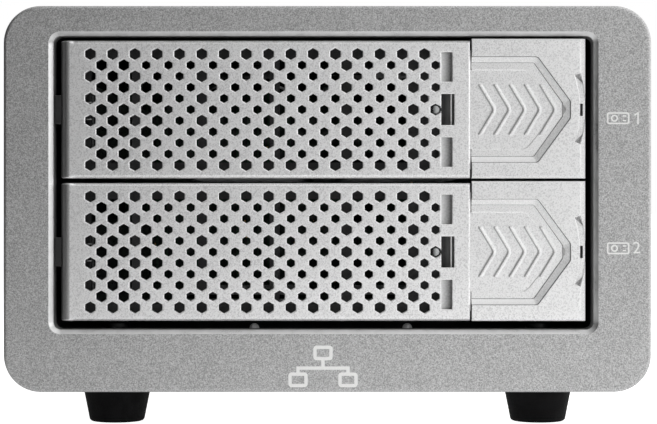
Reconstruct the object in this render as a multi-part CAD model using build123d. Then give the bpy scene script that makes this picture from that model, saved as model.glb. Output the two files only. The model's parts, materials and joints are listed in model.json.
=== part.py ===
"""Two-bay desktop drive enclosure with lever-and-latch trays, built as separate pieces.

Units are millimetres. The front faces -Y, +X is to the right seen from the front, +Z is up.
The origin is on the plane the feet rest on, under the centre of the enclosure.
Bay 1 is the upper bay and bay 2 the lower one; each piece of a tray is drawn about the
tray's own centre height and then lifted to its bay.
"""

import math
import os

from build123d import *

# ---------------------------------------------------------------- driving dimensions
BEZEL_W = 140.0
BEZEL_H = 83.5
BEZEL_T = 6.0
BEZEL_CORNER_R = 8.0
FOOT_H = 7.5
LENGTH = 208.0

# The bay opening sits left of centre, because the bay marks need the wider right margin.
OPEN_LEFT = -59.3
OPEN_RIGHT = 57.6
OPEN_LOW = FOOT_H + 13.5
OPEN_HIGH = FOOT_H + 77.0
OPEN_R = 1.6
OPEN_BEVEL = 0.95
BEZEL_EDGE_R = 0.7

# Trays
TRAY_Z = {1: 68.6, 2: 37.8}
TRAY_LEFT = -57.6
TRAY_RIGHT = 56.0
FACE_HALF_H = 14.9
LEVER_RIGHT = 30.86
HINGE_R = 2.0
LATCH_LEFT = 31.2
LATCH_RIGHT = 55.8
LATCH_LOW = -14.9
LATCH_HIGH = 15.3
LATCH_TRAVEL = 1.2
FACE_RECESS = 0.3

# The 3.5 inch drive a tray carries: its body, and the bottom screw pattern
DRIVE_W = 101.6
DRIVE_L = 147.0
DRIVE_H = 26.1
DRIVE_HOLES_X = 95.25
DRIVE_HOLES_Y = 44.45
DRIVE_HOLE_FROM_REAR = 41.28
DRIVE_HOLE_R = 1.8

# Perforations: a square lattice turned 45 degrees, with two sizes of hexagon
HOLE_STEP_X = 2.408
HOLE_STEP_Z = 2.4
HOLE_COLUMNS = 32
HOLE_ROWS = 11
HOLE_LEFT = -51.27
BIG_HOLE_FLAT = 2.25
SMALL_HOLE_FLAT = 1.76
WIDE_COLUMNS = (10, 16, 17, 23, 29)

# ---------------------------------------------------------------- places that follow
Y_FRONT = -LENGTH / 2
Y_BEZEL_BACK = Y_FRONT + BEZEL_T
Y_FACE = Y_FRONT + FACE_RECESS
THUMB_SCREW_H = 4.5
PANEL_T = 1.5
Y_PANEL_BACK = LENGTH / 2 - THUMB_SCREW_H
Y_SLEEVE_BACK = Y_PANEL_BACK - PANEL_T

BEZEL_Z = FOOT_H + BEZEL_H / 2
SLEEVE_INSET = 0.5
SLEEVE_W = BEZEL_W - 2 * SLEEVE_INSET
SLEEVE_H = BEZEL_H - 2 * SLEEVE_INSET
SLEEVE_R = BEZEL_CORNER_R - SLEEVE_INSET
WALL = 2.0
SLEEVE_LOW = FOOT_H + SLEEVE_INSET
FLOOR_TOP = SLEEVE_LOW + WALL
SCREW_CHANNEL = 2.6
CORNER_X = SLEEVE_W / 2 - WALL - SCREW_CHANNEL
CORNER_Z = SLEEVE_H / 2 - WALL - SCREW_CHANNEL

M3_R = 1.5
M3_CLEAR_R = 1.6
TAPPED_R = M3_R + 0.04
M3_HEAD_R = 2.75

TRAY_MID = (TRAY_LEFT + TRAY_RIGHT) / 2
HINGE_X = TRAY_LEFT - 0.15 + HINGE_R
HINGE_Y = Y_FACE + HINGE_R
BEAM_FRONT = Y_FACE + 5.2
BEAM_BACK = BEAM_FRONT + 2.0
DRIVE_FRONT = BEAM_BACK + 5.5
DRIVE_REAR = DRIVE_FRONT + DRIVE_L
TRAY_REAR = DRIVE_REAR - 1.0
LATCH_HOLLOW = 1.2
LATCH_T = 3.6
TONGUE_DEPTH = 2.0
LEVER_T = 1.6
LEVER_FLANGE = 5.0
LEVER_THIN_T = 0.75
LEVER_THIN_X = 28.3
RUNNER_FRONT = -78.0
RUNNER_LOW = -3.0
RUNNER_HIGH = 0.0

CAGE_T = 1.0
CAGE_LEFT = OPEN_LEFT - 0.2
CAGE_RIGHT = OPEN_RIGHT + 0.2
CAGE_LOW = OPEN_LOW - 0.2
CAGE_HIGH = OPEN_HIGH + 0.2
CAGE_REAR = DRIVE_REAR + 3.0
CAGE_SCREW_X = (-63.6, 63.2)
CAGE_SCREW_Z = (32.0, 74.0)
EAR_X = 67.0
EAR_LOW = 26.0
EAR_HIGH = 80.0
DIMPLES_X = (-16.1, 17.6)
DIMPLE_R = 1.1

BOARD_T = 1.6
FOOT_X = 46.8
FOOT_Y = (-90.0, 80.0)
STANDOFF_Y = (FOOT_Y[0], 25.0)

MAIN_BOARD_Z = FLOOR_TOP + 3.0
MAIN_BOARD_TOP = MAIN_BOARD_Z + BOARD_T
FAN_X = -25.0
FAN_Z = 57.0
FAN_SIDE = 60.0
FAN_DEPTH = 20.0
FAN_HOLES = 50.0
GRILLE_PITCH = 5.2
GRILLE_HEX_R = 2.6
GRILLE_R = 25.5
FAN_SCREW_R = 2.0

LIGHT_X = HOLE_LEFT + 31 * HOLE_STEP_X
LIGHT_R = 0.85


# ---------------------------------------------------------------- drawing helpers
def block(x0, x1, y0, y1, z0, z1):
    """A box given by its low and high face on each axis."""
    return Pos((x0 + x1) / 2, (y0 + y1) / 2, (z0 + z1) / 2) * Box(x1 - x0, y1 - y0, z1 - z0)


def rod_x(y, z, r, x0, x1):
    return Pos((x0 + x1) / 2, y, z) * Rot(0, 90, 0) * Cylinder(r, x1 - x0)


def rod_y(x, z, r, y0, y1):
    return Pos(x, (y0 + y1) / 2, z) * Rot(90, 0, 0) * Cylinder(r, y1 - y0)


def rod_z(x, y, r, z0, z1):
    return Pos(x, y, (z0 + z1) / 2) * Cylinder(r, z1 - z0)


def prism_y(face, y0, y1):
    """Runs a face drawn in (x, z) from y0 back to y1."""
    plane = Plane(origin=(0, y1, 0), x_dir=(1, 0, 0), z_dir=(0, -1, 0))
    return extrude(plane * face, y1 - y0)


def polygon(points):
    """A face from its corner points, in order."""
    return make_face(Polyline(*points, close=True))


def slab(face_x, face_z, w, h, r, y0, y1):
    """A rounded rectangle about (face_x, face_z), run from y0 to y1."""
    return prism_y(Pos(face_x, face_z) * RectangleRounded(w, h, r), y0, y1)


def cross_recess(r, depth):
    """The cross-shaped driver recess of a screw head, opening along +Z at z = 0."""
    arm = Box(2 * r, 0.32 * r, depth)
    return Pos(0, 0, -depth / 2) * (arm + Rot(0, 0, 90) * arm)


def pan_screw(shank_r, length, head_r, head_h):
    """A screw along -Z with its head above z = 0."""
    head = Pos(0, 0, head_h / 2) * Cylinder(head_r, head_h)
    head = fillet(head.edges().group_by(Axis.Z)[-1], head_h * 0.4)
    shank = Pos(0, 0, -length / 2) * Cylinder(shank_r, length)
    return head + shank - Pos(0, 0, head_h) * cross_recess(head_r * 0.6, head_h * 0.6)


def wire_coil(radius, wire_r, pitch, height):
    """A coil of round wire about +Z, from z = 0 up."""
    path = Helix(pitch, height, radius)
    ring = Plane(origin=path @ 0, z_dir=path % 0) * Circle(wire_r)
    return sweep(ring, path=path, is_frenet=True)


def cable(points, r):
    """A round cable through the points."""
    path = Spline(*points)
    return sweep(Plane(origin=path @ 0, z_dir=path % 0) * Circle(r), path=path)


# ---------------------------------------------------------------- casing
def front_bezel():
    outline = Pos(0, BEZEL_Z) * RectangleRounded(BEZEL_W, BEZEL_H, BEZEL_CORNER_R)
    open_w = OPEN_RIGHT - OPEN_LEFT
    open_h = OPEN_HIGH - OPEN_LOW
    open_mid = Pos((OPEN_LEFT + OPEN_RIGHT) / 2, (OPEN_LOW + OPEN_HIGH) / 2)
    opening = open_mid * RectangleRounded(open_w, open_h, OPEN_R)
    body = prism_y(outline - opening, Y_FRONT, Y_BEZEL_BACK)
    front = body.faces().sort_by(Axis.Y)[0]
    body = chamfer(front.inner_wires()[0].edges(), OPEN_BEVEL)
    front = body.faces().sort_by(Axis.Y)[0]
    body = fillet(front.outer_wire().edges(), BEZEL_EDGE_R)
    for x in CAGE_SCREW_X:
        for z in CAGE_SCREW_Z:
            body -= rod_y(x, z, TAPPED_R, Y_BEZEL_BACK - 4.0, Y_BEZEL_BACK)
    return body


def corner_points():
    """The four screw channels, as (x, z)."""
    return [(sx * CORNER_X, BEZEL_Z + sz * CORNER_Z) for sx in (-1, 1) for sz in (-1, 1)]


def housing_sleeve():
    outer = Pos(0, BEZEL_Z) * RectangleRounded(SLEEVE_W, SLEEVE_H, SLEEVE_R)
    inner = Pos(0, BEZEL_Z) * RectangleRounded(SLEEVE_W - 2 * WALL, SLEEVE_H - 2 * WALL, SLEEVE_R - WALL)
    section = outer - inner
    for x, z in corner_points():
        section += outer & (Pos(x, z) * Circle(SCREW_CHANNEL + 0.6))
    for x, z in corner_points():
        section -= Pos(x, z) * Circle(TAPPED_R)
    sleeve = prism_y(section, Y_BEZEL_BACK, Y_SLEEVE_BACK)
    edge = sleeve.faces().sort_by(Axis.Y)[-1].outer_wire().edges()
    sleeve = chamfer(edge, 0.4)
    for x in (-FOOT_X, FOOT_X):
        for y in STANDOFF_Y:
            sleeve -= rod_z(x, y, M3_CLEAR_R, SLEEVE_LOW - 1, FLOOR_TOP + 1)
        sleeve -= rod_z(x, FOOT_Y[1], TAPPED_R, SLEEVE_LOW - 1, FLOOR_TOP + 1)
    # Air slots in the floor, under the boards
    slots = [
        Pos(x, y, SLEEVE_LOW + WALL / 2) * extrude(SlotOverall(26.0, 2.4), WALL * 2, both=True)
        for x in (-16.0, 16.0)
        for y in range(-40, 61, 6)
    ]
    return sleeve - slots


def drive_cage():
    """A folded steel box that holds the rails, with ears for the bezel and the backplane."""
    t = CAGE_T
    outer = block(CAGE_LEFT - t, CAGE_RIGHT + t, Y_BEZEL_BACK, CAGE_REAR, CAGE_LOW - t, CAGE_HIGH + t)
    cage = outer - block(CAGE_LEFT, CAGE_RIGHT, Y_FRONT, CAGE_REAR + 1, CAGE_LOW, CAGE_HIGH)
    for y0 in (Y_BEZEL_BACK, CAGE_REAR - t):
        cage += block(-EAR_X, CAGE_LEFT - t, y0, y0 + t, EAR_LOW, EAR_HIGH)
        cage += block(CAGE_RIGHT + t, EAR_X, y0, y0 + t, EAR_LOW, EAR_HIGH)
        for x in CAGE_SCREW_X:
            for z in CAGE_SCREW_Z:
                cage -= rod_y(x, z, M3_CLEAR_R, y0 - 1, y0 + t + 1)
    # Two guide dimples in the floor just inside the opening
    for x in DIMPLES_X:
        ball = Pos(x, Y_BEZEL_BACK + 3.5, CAGE_LOW) * Sphere(DIMPLE_R)
        cage += ball - block(x - 2, x + 2, Y_BEZEL_BACK, Y_BEZEL_BACK + 8, CAGE_LOW - 3, CAGE_LOW - t)
    for x in (-FOOT_X, FOOT_X):
        for y in STANDOFF_Y:
            cage -= rod_z(x, y, M3_CLEAR_R, CAGE_LOW - t - 1, CAGE_LOW + 1)
    # Air slots in the roof and floor
    vents = [
        Pos(x, y) * extrude(SlotOverall(20.0, 4.0), 2 * CAGE_HIGH)
        for x in (-28.0, 0.0, 28.0)
        for y in range(-60, 41, 10)
    ]
    return cage - vents


def guide_rails():
    """Plastic strips above and below each tray's runner, on both cage walls."""
    rails = []
    y0, y1 = RUNNER_FRONT - 2.0, CAGE_REAR - 2.0
    above = (RUNNER_HIGH + 0.2, RUNNER_HIGH + 3.2)
    below = (RUNNER_LOW - 3.2, RUNNER_LOW - 0.15)
    for z in TRAY_Z.values():
        for low, high in (above, below):
            rails.append(block(CAGE_LEFT, TRAY_LEFT - 0.2, y0, y1, z + low, z + high))
            rails.append(block(TRAY_RIGHT + 0.2, CAGE_RIGHT, y0, y1, z + low, z + high))
    return Compound(rails)


RJ_X = 20.0
USB_X = 38.5
JACK_X = 54.0
JACK_Z = MAIN_BOARD_TOP + 6.0
ROCKER_X = 52.0
ROCKER_Z = 46.0
DIAL_X = 21.0
DIAL_Z = 41.0
RESET_X = 36.0
RESET_Z = 41.0
LOCK_X = 52.0
LOCK_Z = 77.0
RJ_W = 16.0
RJ_H = 13.4
USB_W = 13.2
USB_H = 5.8
JACK_W = 9.0
KNOB_R = 3.8
BUTTON_R = 1.5


def rear_hex_field():
    """The hexagons of the fan grille, as (x, z) centres inside a circle."""
    found = []
    for row in range(-6, 7):
        z = row * GRILLE_PITCH * math.sqrt(3) / 2
        for col in range(-6, 7):
            x = (col + 0.5 * (row % 2)) * GRILLE_PITCH
            if math.hypot(x, z) <= GRILLE_R:
                found.append((FAN_X + x, FAN_Z + z))
    return found


def rear_panel():
    face = Pos(0, BEZEL_Z) * RectangleRounded(SLEEVE_W, SLEEVE_H, SLEEVE_R)
    holes = [Pos(x, z) * RegularPolygon(GRILLE_HEX_R, 6, rotation=30) for x, z in rear_hex_field()]
    holes += [Pos(x, z) * Circle(M3_CLEAR_R) for x, z in corner_points()]
    holes += [Pos(x, z) * Circle(FAN_SCREW_R + 0.1) for x, z in fan_corners()]
    holes.append(Pos(RJ_X, MAIN_BOARD_TOP + RJ_H / 2) * Rectangle(RJ_W + 0.4, RJ_H + 0.4))
    holes.append(Pos(USB_X, MAIN_BOARD_TOP + 1.0 + USB_H / 2) * Rectangle(USB_W + 0.4, USB_H + 0.4))
    holes.append(Pos(JACK_X, JACK_Z) * Circle(4.2))
    holes.append(Pos(ROCKER_X, ROCKER_Z) * Rectangle(13.4, 19.8))
    holes.append(Pos(DIAL_X, DIAL_Z) * Circle(KNOB_R + 0.3))
    holes.append(Pos(RESET_X, RESET_Z) * Circle(BUTTON_R + 0.3))
    holes.append(Pos(LOCK_X, LOCK_Z) * RectangleRounded(7.0, 3.0, 0.6))
    holes += [Pos(x, 65.0) * SlotOverall(18.0, 2.2, rotation=90) for x in range(14, 43, 4)]
    panel = prism_y(face - holes, Y_SLEEVE_BACK, Y_PANEL_BACK)
    for z in (35.5, 46.5):
        panel += rod_y(29.0, z, 1.8, SWITCH_BOARD_Y + BOARD_T, Y_SLEEVE_BACK)
    return panel


def rubber_feet():
    feet = []
    for x in (-FOOT_X, FOOT_X):
        for y in FOOT_Y:
            foot = Pos(x, y, SLEEVE_LOW / 2) * Cone(6.0, 7.6, SLEEVE_LOW)
            foot = fillet(foot.edges().group_by(Axis.Z)[0], 0.8)
            foot -= rod_z(x, y, 3.1, -1, 4.5)
            feet.append(foot - rod_z(x, y, M3_CLEAR_R, 0, SLEEVE_LOW + 1))
    return Compound(feet)


# ---------------------------------------------------------------- fasteners of the casing
def foot_screws():
    """Front ones thread into the cage standoffs, rear ones into the sleeve's floor."""
    up = Rot(180, 0, 0)
    lengths = {FOOT_Y[0]: 11.5, FOOT_Y[1]: 6.4}
    return Compound(
        [
            Pos(x, y, 4.5) * up * pan_screw(M3_R, lengths[y], M3_HEAD_R, 1.9)
            for x in (-FOOT_X, FOOT_X)
            for y in FOOT_Y
        ]
    )


def cage_standoffs():
    h = CAGE_LOW - CAGE_T - FLOOR_TOP
    pillar = extrude(RegularPolygon(3.2, 6), h) - Pos(0, 0, h / 2) * Cylinder(TAPPED_R, h + 2)
    return Compound([Pos(x, y, FLOOR_TOP) * pillar for x in (-FOOT_X, FOOT_X) for y in STANDOFF_Y])


def cage_screws():
    """Low heads on the cage floor, and two from under the sleeve at the rear standoffs."""
    low = pan_screw(M3_R, 3.2, M3_HEAD_R, 1.2)
    screws = [Pos(x, y, CAGE_LOW) * low for x in (-FOOT_X, FOOT_X) for y in STANDOFF_Y]
    under = Pos(0, 0, SLEEVE_LOW) * Rot(180, 0, 0) * pan_screw(M3_R, 5.5, M3_HEAD_R, 1.5)
    screws += [Pos(x, STANDOFF_Y[1], 0) * under for x in (-FOOT_X, FOOT_X)]
    return Compound(screws)


def ear_screws(y_head, length):
    """Screws through the cage ears, heads at the back and shanks running forward."""
    screw = Rot(-90, 0, 0) * pan_screw(M3_R, length, M3_HEAD_R, 1.9)
    return Compound([Pos(x, y_head, z) * screw for x in CAGE_SCREW_X for z in CAGE_SCREW_Z])


def thumb_screws():
    """Knurled screws that hold the rear panel to the sleeve's screw channels."""
    head = Pos(0, 0, THUMB_SCREW_H / 2) * Cylinder(3.9, THUMB_SCREW_H)
    head = chamfer(head.edges().group_by(Axis.Z)[-1], 0.5)
    notch = Pos(4.05, 0, THUMB_SCREW_H / 2 + 0.7) * Cylinder(0.4, THUMB_SCREW_H)
    notches = [Rot(0, 0, angle) * notch for angle in range(0, 360, 20)]
    screw = head - notches - Pos(0, 0, THUMB_SCREW_H) * cross_recess(2.3, 1.6)
    screw += Pos(0, 0, -4) * Cylinder(M3_R, 8)
    back = Rot(-90, 0, 0)
    return Compound([Pos(x, Y_PANEL_BACK, z) * back * screw for x, z in corner_points()])


# ---------------------------------------------------------------- fan
def fan_corners():
    h = FAN_HOLES / 2
    return [(FAN_X + sx * h, FAN_Z + sz * h) for sx in (-1, 1) for sz in (-1, 1)]


FAN_FRONT = Y_SLEEVE_BACK - FAN_DEPTH
FAN_HUB_R = 13.5


def fan_frame():
    frame = slab(FAN_X, FAN_Z, FAN_SIDE, FAN_SIDE, 3.5, FAN_FRONT, Y_SLEEVE_BACK)
    frame -= rod_y(FAN_X, FAN_Z, 28.6, FAN_FRONT - 1, Y_SLEEVE_BACK + 1)
    for x, z in fan_corners():
        frame -= rod_y(x, z, FAN_SCREW_R + 0.1, FAN_FRONT - 1, Y_SLEEVE_BACK + 1)
    hub = rod_y(FAN_X, FAN_Z, FAN_HUB_R, Y_SLEEVE_BACK - 3.0, Y_SLEEVE_BACK - 0.4)
    arm = block(FAN_HUB_R - 1.0, 29.5, Y_SLEEVE_BACK - 3.0, Y_SLEEVE_BACK - 0.6, -1.3, 1.3)
    for angle in (45, 135, 225, 315):
        hub += Pos(FAN_X, 0, FAN_Z) * Rot(0, angle, 0) * arm
    bearing = rod_y(FAN_X, FAN_Z, 3.2, Y_SLEEVE_BACK - 11.0, Y_SLEEVE_BACK - 2.5)
    bore = rod_y(FAN_X, FAN_Z, 1.55, Y_SLEEVE_BACK - 12.0, Y_SLEEVE_BACK - 1.6)
    return frame + hub + bearing - bore


def fan_rotor():
    """A cupped hub with seven pitched blades on a shaft."""
    y0, y1 = FAN_FRONT + 1.0, Y_SLEEVE_BACK - 3.6
    cup = rod_y(0, 0, FAN_HUB_R, y0, y1)
    cup = fillet(cup.edges().group_by(Axis.Y)[0], 1.0)
    cup -= rod_y(0, 0, FAN_HUB_R - 1.2, y0 + 1.4, y1 + 0.1)
    band = prism_y(Circle(27.8) - Circle(FAN_HUB_R - 0.6), y0 + 0.6, y1)
    rotor = cup
    for n in range(7):
        blade = Pos(20.5, (y0 + y1) / 2, 0) * Rot(38, 0, 0) * Box(18.0, 19.0, 1.2)
        rotor += Rot(0, n * 360 / 7, 0) * (blade & band)
    shaft = rod_y(0, 0, 1.5, y0 + 1.0, Y_SLEEVE_BACK - 2.0)
    return Pos(FAN_X, 0, FAN_Z) * (rotor + shaft)


def fan_screws():
    screw = Rot(-90, 0, 0) * pan_screw(FAN_SCREW_R, 9.0, 3.6, 1.8)
    return Compound([Pos(x, Y_PANEL_BACK, z) * screw for x, z in fan_corners()])


def fan_cable():
    """The fan's pair of wires and the plug on the main board they end in."""
    start = (FAN_X + FAN_SIDE / 2 + 0.9, FAN_FRONT + 6.0, FAN_Z - 14.0)
    middle = (FAN_X + FAN_SIDE / 2 + 4.0, FAN_FRONT + 0.0, 34.0)
    end = (8.0, 73.0, MAIN_BOARD_TOP + 5.3)
    wires = [Pos(x, 0, 0) * cable([start, middle, end], 0.6) for x in (0, 1.3)]
    plug = block(5.0, 12.6, 70.6, 75.4, MAIN_BOARD_TOP, MAIN_BOARD_TOP + 4.6)
    return Compound([*wires, plug])


# ---------------------------------------------------------------- boards and connectors
BACKPLANE_W = 133.0
BACKPLANE_H = 58.5
BACKPLANE_MID = 51.75
FOOT_W = 52.0


def backplane_board():
    """A card across the back of the cage; its foot plugs into the link connector."""
    y0, y1 = CAGE_REAR, CAGE_REAR + BOARD_T
    face = Pos(0, BACKPLANE_MID) * Rectangle(BACKPLANE_W, BACKPLANE_H)
    face += Pos(0, 23.3) * Rectangle(FOOT_W, 12.6)
    windows = [Pos(24.0, z) * RectangleRounded(38.0, 7.0, 2.0) for z in (45.0, 78.0)]
    holes = [Pos(x, z) * Circle(M3_CLEAR_R) for x in CAGE_SCREW_X for z in CAGE_SCREW_Z]
    return prism_y(face - windows - holes, y0, y1)


SATA_X = TRAY_MID + 18.0
SATA_TIP = DRIVE_REAR - 5.0


def sata_receptacles():
    """One drive connector per bay, with the long key slot a drive plugs onto."""
    found = []
    for z in TRAY_Z.values():
        low = z - DRIVE_H / 2 + 1.2
        body = block(SATA_X - 20.7, SATA_X + 20.7, SATA_TIP, CAGE_REAR, low, low + 6.0)
        body -= block(SATA_X - 18.6, SATA_X + 18.6, SATA_TIP - 1, SATA_TIP + 5.0, low + 2.2, low + 4.0)
        body += block(SATA_X - 24.0, SATA_X + 24.0, CAGE_REAR - 3.0, CAGE_REAR, low, low + 6.0)
        found.append(body)
    return Compound(found)


def status_leds():
    y = CAGE_REAR
    return Compound([block(52.0, 54.4, y - 0.9, y, z - 1.2, z + 1.2) for z in TRAY_Z.values()])


def link_connector():
    """The socket on the main board that takes the foot of the backplane."""
    y0, y1 = CAGE_REAR, CAGE_REAR + BOARD_T
    body = block(-30.0, 30.0, y0 - 2.4, y1 + 2.4, MAIN_BOARD_TOP, MAIN_BOARD_TOP + 4.8)
    reach = FOOT_W / 2 + 0.1
    return body - block(-reach, reach, y0 - 0.1, y1 + 0.1, MAIN_BOARD_TOP + 2.0, MAIN_BOARD_TOP + 8.0)


MAIN_BOARD_HOLES = [(-52.0, 34.0), (52.0, 34.0), (-52.0, 92.0), (30.5, 66.5)]


def main_board():
    board = block(-56.0, 60.5, 30.0, Y_SLEEVE_BACK - 1.0, MAIN_BOARD_Z, MAIN_BOARD_TOP)
    for x, y in MAIN_BOARD_HOLES:
        board -= rod_z(x, y, M3_CLEAR_R, MAIN_BOARD_Z - 1, MAIN_BOARD_TOP + 1)
    return board


def board_standoffs():
    h = MAIN_BOARD_Z - FLOOR_TOP
    pillar = Pos(0, 0, h / 2) * (Cylinder(3.0, h) - Cylinder(TAPPED_R, h + 1))
    return Compound([Pos(x, y, FLOOR_TOP) * pillar for x, y in MAIN_BOARD_HOLES])


def board_screws():
    screw = pan_screw(M3_R, 4.2, M3_HEAD_R, 1.8)
    return Compound([Pos(x, y, MAIN_BOARD_TOP) * screw for x, y in MAIN_BOARD_HOLES])


CHIP_H = 1.4


def controller_chip():
    return block(-34.0, -18.0, 66.0, 76.5, MAIN_BOARD_TOP, MAIN_BOARD_TOP + CHIP_H)


def heatsink():
    z0 = MAIN_BOARD_TOP + CHIP_H
    sink = block(-35.0, -17.0, 65.5, 77.0, z0, z0 + 2.0)
    for n in range(7):
        x = -35.0 + n * 2.8
        sink += block(x, x + 1.2, 65.5, 77.0, z0 + 2.0, z0 + 9.0)
    return sink


def board_components():
    """Memory and flash chips, chokes and capacitors, soldered to the main board."""
    z0 = MAIN_BOARD_TOP
    found = [block(x, x + 9.0, 64.0, 76.0, z0, z0 + 1.1) for x in (-50.0, -12.0)]
    found += [block(x, x + 6.5, 36.0, 42.5, z0, z0 + 2.8) for x in (-30.0, -20.0, 14.0, 24.0)]
    for n in range(5):
        can = rod_z(36.5 + 5.0 * (n % 3), 64.0 + 8.0 * (n // 3), 2.0, z0, z0 + 6.5)
        found.append(chamfer(can.edges().group_by(Axis.Z)[-1], 0.3))
    return Compound(found)


CELL_R = 6.25


def clock_battery():
    """A coin cell in its ring-shaped holder."""
    z0 = MAIN_BOARD_TOP
    cell = rod_z(0, 0, CELL_R, z0 + 0.8, z0 + 3.3)
    holder = rod_z(0, 0, CELL_R + 1.3, z0, z0 + 2.6) - rod_z(0, 0, CELL_R + 0.1, z0 + 0.8, z0 + 4.0)
    return Pos(-44.0, 52.0, 0) * Compound([cell, holder])


def ethernet_jack():
    """An eight-contact modular socket: shell, plug cavity, latch notch above it, contacts."""
    z0 = MAIN_BOARD_TOP
    y1 = Y_PANEL_BACK + 0.4
    body = block(RJ_X - RJ_W / 2, RJ_X + RJ_W / 2, y1 - 20.0, y1, z0, z0 + RJ_H)
    body -= block(RJ_X - 5.9, RJ_X + 5.9, y1 - 12.0, y1 + 1, z0 + 1.6, z0 + 8.4)
    body -= block(RJ_X - 3.2, RJ_X + 3.2, y1 - 9.0, y1 + 1, z0 + 8.3, z0 + 11.2)
    pitch = 1.02
    contact = block(-0.25, 0.25, y1 - 10.4, y1 - 2.4, z0 + 1.6, z0 + 3.0)
    contacts = [Pos(RJ_X + pitch * (n - 3.5), 0, 0) * contact for n in range(8)]
    return Compound([body, *contacts])


def usb_port():
    """A type-A socket shell with its tongue."""
    z0 = MAIN_BOARD_TOP + 1.0
    y1 = Y_PANEL_BACK + 0.3
    x0, x1 = USB_X - USB_W / 2, USB_X + USB_W / 2
    shell = block(x0, x1, y1 - 14.0, y1, z0, z0 + USB_H)
    shell -= block(x0 + 0.4, x1 - 0.4, y1 - 12.5, y1 + 1, z0 + 0.4, z0 + USB_H - 0.4)
    for x in (x0, x1 - 0.8):
        shell += block(x, x + 0.8, y1 - 10.0, y1 - 7.0, MAIN_BOARD_TOP, z0)
    tongue = block(USB_X - 5.6, USB_X + 5.6, y1 - 12.4, y1 - 2.0, z0 + 3.1, z0 + 5.0)
    return Compound([shell, tongue])


def power_jack():
    """A barrel jack: round mouth at the panel, block body behind it, pin in the middle."""
    y1 = Y_PANEL_BACK + 0.6
    x0, x1 = JACK_X - JACK_W / 2, JACK_X + JACK_W / 2
    body = block(x0, x1, y1 - 14.5, Y_SLEEVE_BACK - 0.2, MAIN_BOARD_TOP, JACK_Z + 4.5)
    body += rod_y(JACK_X, JACK_Z, 4.0, y1 - 4.0, y1)
    body -= rod_y(JACK_X, JACK_Z, 2.9, y1 - 10.0, y1 + 1)
    pin = rod_y(JACK_X, JACK_Z, 1.05, y1 - 9.9, y1 - 1.0)
    return Compound([body, pin])


# ---------------------------------------------------------------- rear controls
PIVOT_Y = Y_PANEL_BACK - 1.0
BODY_FRONT = Y_SLEEVE_BACK - 13.0
TERMINALS_Z = (-5.0, 5.0)
ROCKER_TILT = 8.0


def rocker_housing():
    """The snap-in body of the power switch, hollow, with a flange on the panel."""
    flange = slab(0, 0, 15.4, 21.4, 1.2, Y_PANEL_BACK, Y_PANEL_BACK + 1.3)
    body = block(-6.5, 6.5, BODY_FRONT, Y_PANEL_BACK, -9.7, 9.7)
    well = block(-5.3, 5.3, BODY_FRONT + 6.0, Y_PANEL_BACK + 2, -8.7, 8.7)
    housing = flange + body - well - rod_x(PIVOT_Y, 0, 1.05, -6.0, 6.0)
    for z in TERMINALS_Z:
        housing += block(-2.4, 2.4, BODY_FRONT - 6.0, BODY_FRONT, z - 0.4, z + 0.4)
    return Pos(ROCKER_X, 0, ROCKER_Z) * housing


def power_rocker():
    """Drawn in its off state, tipped about the pivot."""
    profile = polygon([(-8.0, -1.6), (-8.0, 2.6), (0, 1.9), (8.0, 2.6), (8.0, -1.6), (0, -3.4)])
    pad = extrude(Plane(origin=(-4.9, 0, 0), x_dir=(0, 0, -1), z_dir=(1, 0, 0)) * profile, 9.8)
    pad = fillet(pad.edges().filter_by(Axis.X).group_by(Axis.Y)[-1], 0.6)
    pins = rod_x(0, 0, 1.0, -5.9, 5.9)
    return Pos(ROCKER_X, PIVOT_Y, ROCKER_Z) * Rot(ROCKER_TILT, 0, 0) * (pad + pins)


SWITCH_BOARD_Y = Y_SLEEVE_BACK - 10.0


def switch_board():
    """A small card behind the panel that carries the mode selector and the reset switch."""
    return block(14.0, 41.5, SWITCH_BOARD_Y, SWITCH_BOARD_Y + BOARD_T, 33.0, 49.0)


def switch_lead():
    """Four wires from the switch board down to a plug on the main board."""
    wires = []
    for n in range(4):
        x = 32.6 + 1.1 * n
        start = (x, SWITCH_BOARD_Y - 0.3, 36.0)
        bend = (x, SWITCH_BOARD_Y - 4.5, 32.0)
        wires.append(cable([start, bend, (x, 78.0, MAIN_BOARD_TOP + 6.0)], 0.45))
    return Compound([*wires, block(31.6, 36.9, 76.0, 80.0, MAIN_BOARD_TOP, MAIN_BOARD_TOP + 5.0)])


def selector_body():
    y0 = SWITCH_BOARD_Y + BOARD_T
    body = block(DIAL_X - 5.0, DIAL_X + 5.0, y0, y0 + 5.4, DIAL_Z - 5.0, DIAL_Z + 5.0)
    return body - rod_y(DIAL_X, DIAL_Z, 2.0, y0 + 1.0, y0 + 6)


def mode_dial():
    """A knob with a driver slot and a pointer notch, on a stub shaft."""
    y0 = SWITCH_BOARD_Y + BOARD_T
    knob_back = y0 + 5.8
    knob = rod_y(DIAL_X, DIAL_Z, KNOB_R, knob_back, Y_PANEL_BACK + 1.2)
    knob = chamfer(knob.edges().group_by(Axis.Y)[-1], 0.4)
    knob += rod_y(DIAL_X, DIAL_Z, 1.95, y0 + 1.4, knob_back)
    tip = Y_PANEL_BACK + 1.2
    knob -= block(DIAL_X - 2.8, DIAL_X + 2.8, tip - 1.0, tip + 1, DIAL_Z - 0.5, DIAL_Z + 0.5)
    return knob - rod_y(DIAL_X + 3.0, DIAL_Z + 1.4, 0.4, tip - 0.4, tip + 1)


RESET_TRAVEL = 0.8


def reset_switch():
    y0 = SWITCH_BOARD_Y + BOARD_T
    body = block(RESET_X - 3.0, RESET_X + 3.0, y0, y0 + 4.0, RESET_Z - 3.0, RESET_Z + 3.0)
    return body - rod_y(RESET_X, RESET_Z, 1.55, y0 + 1.4, y0 + 5)


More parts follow.
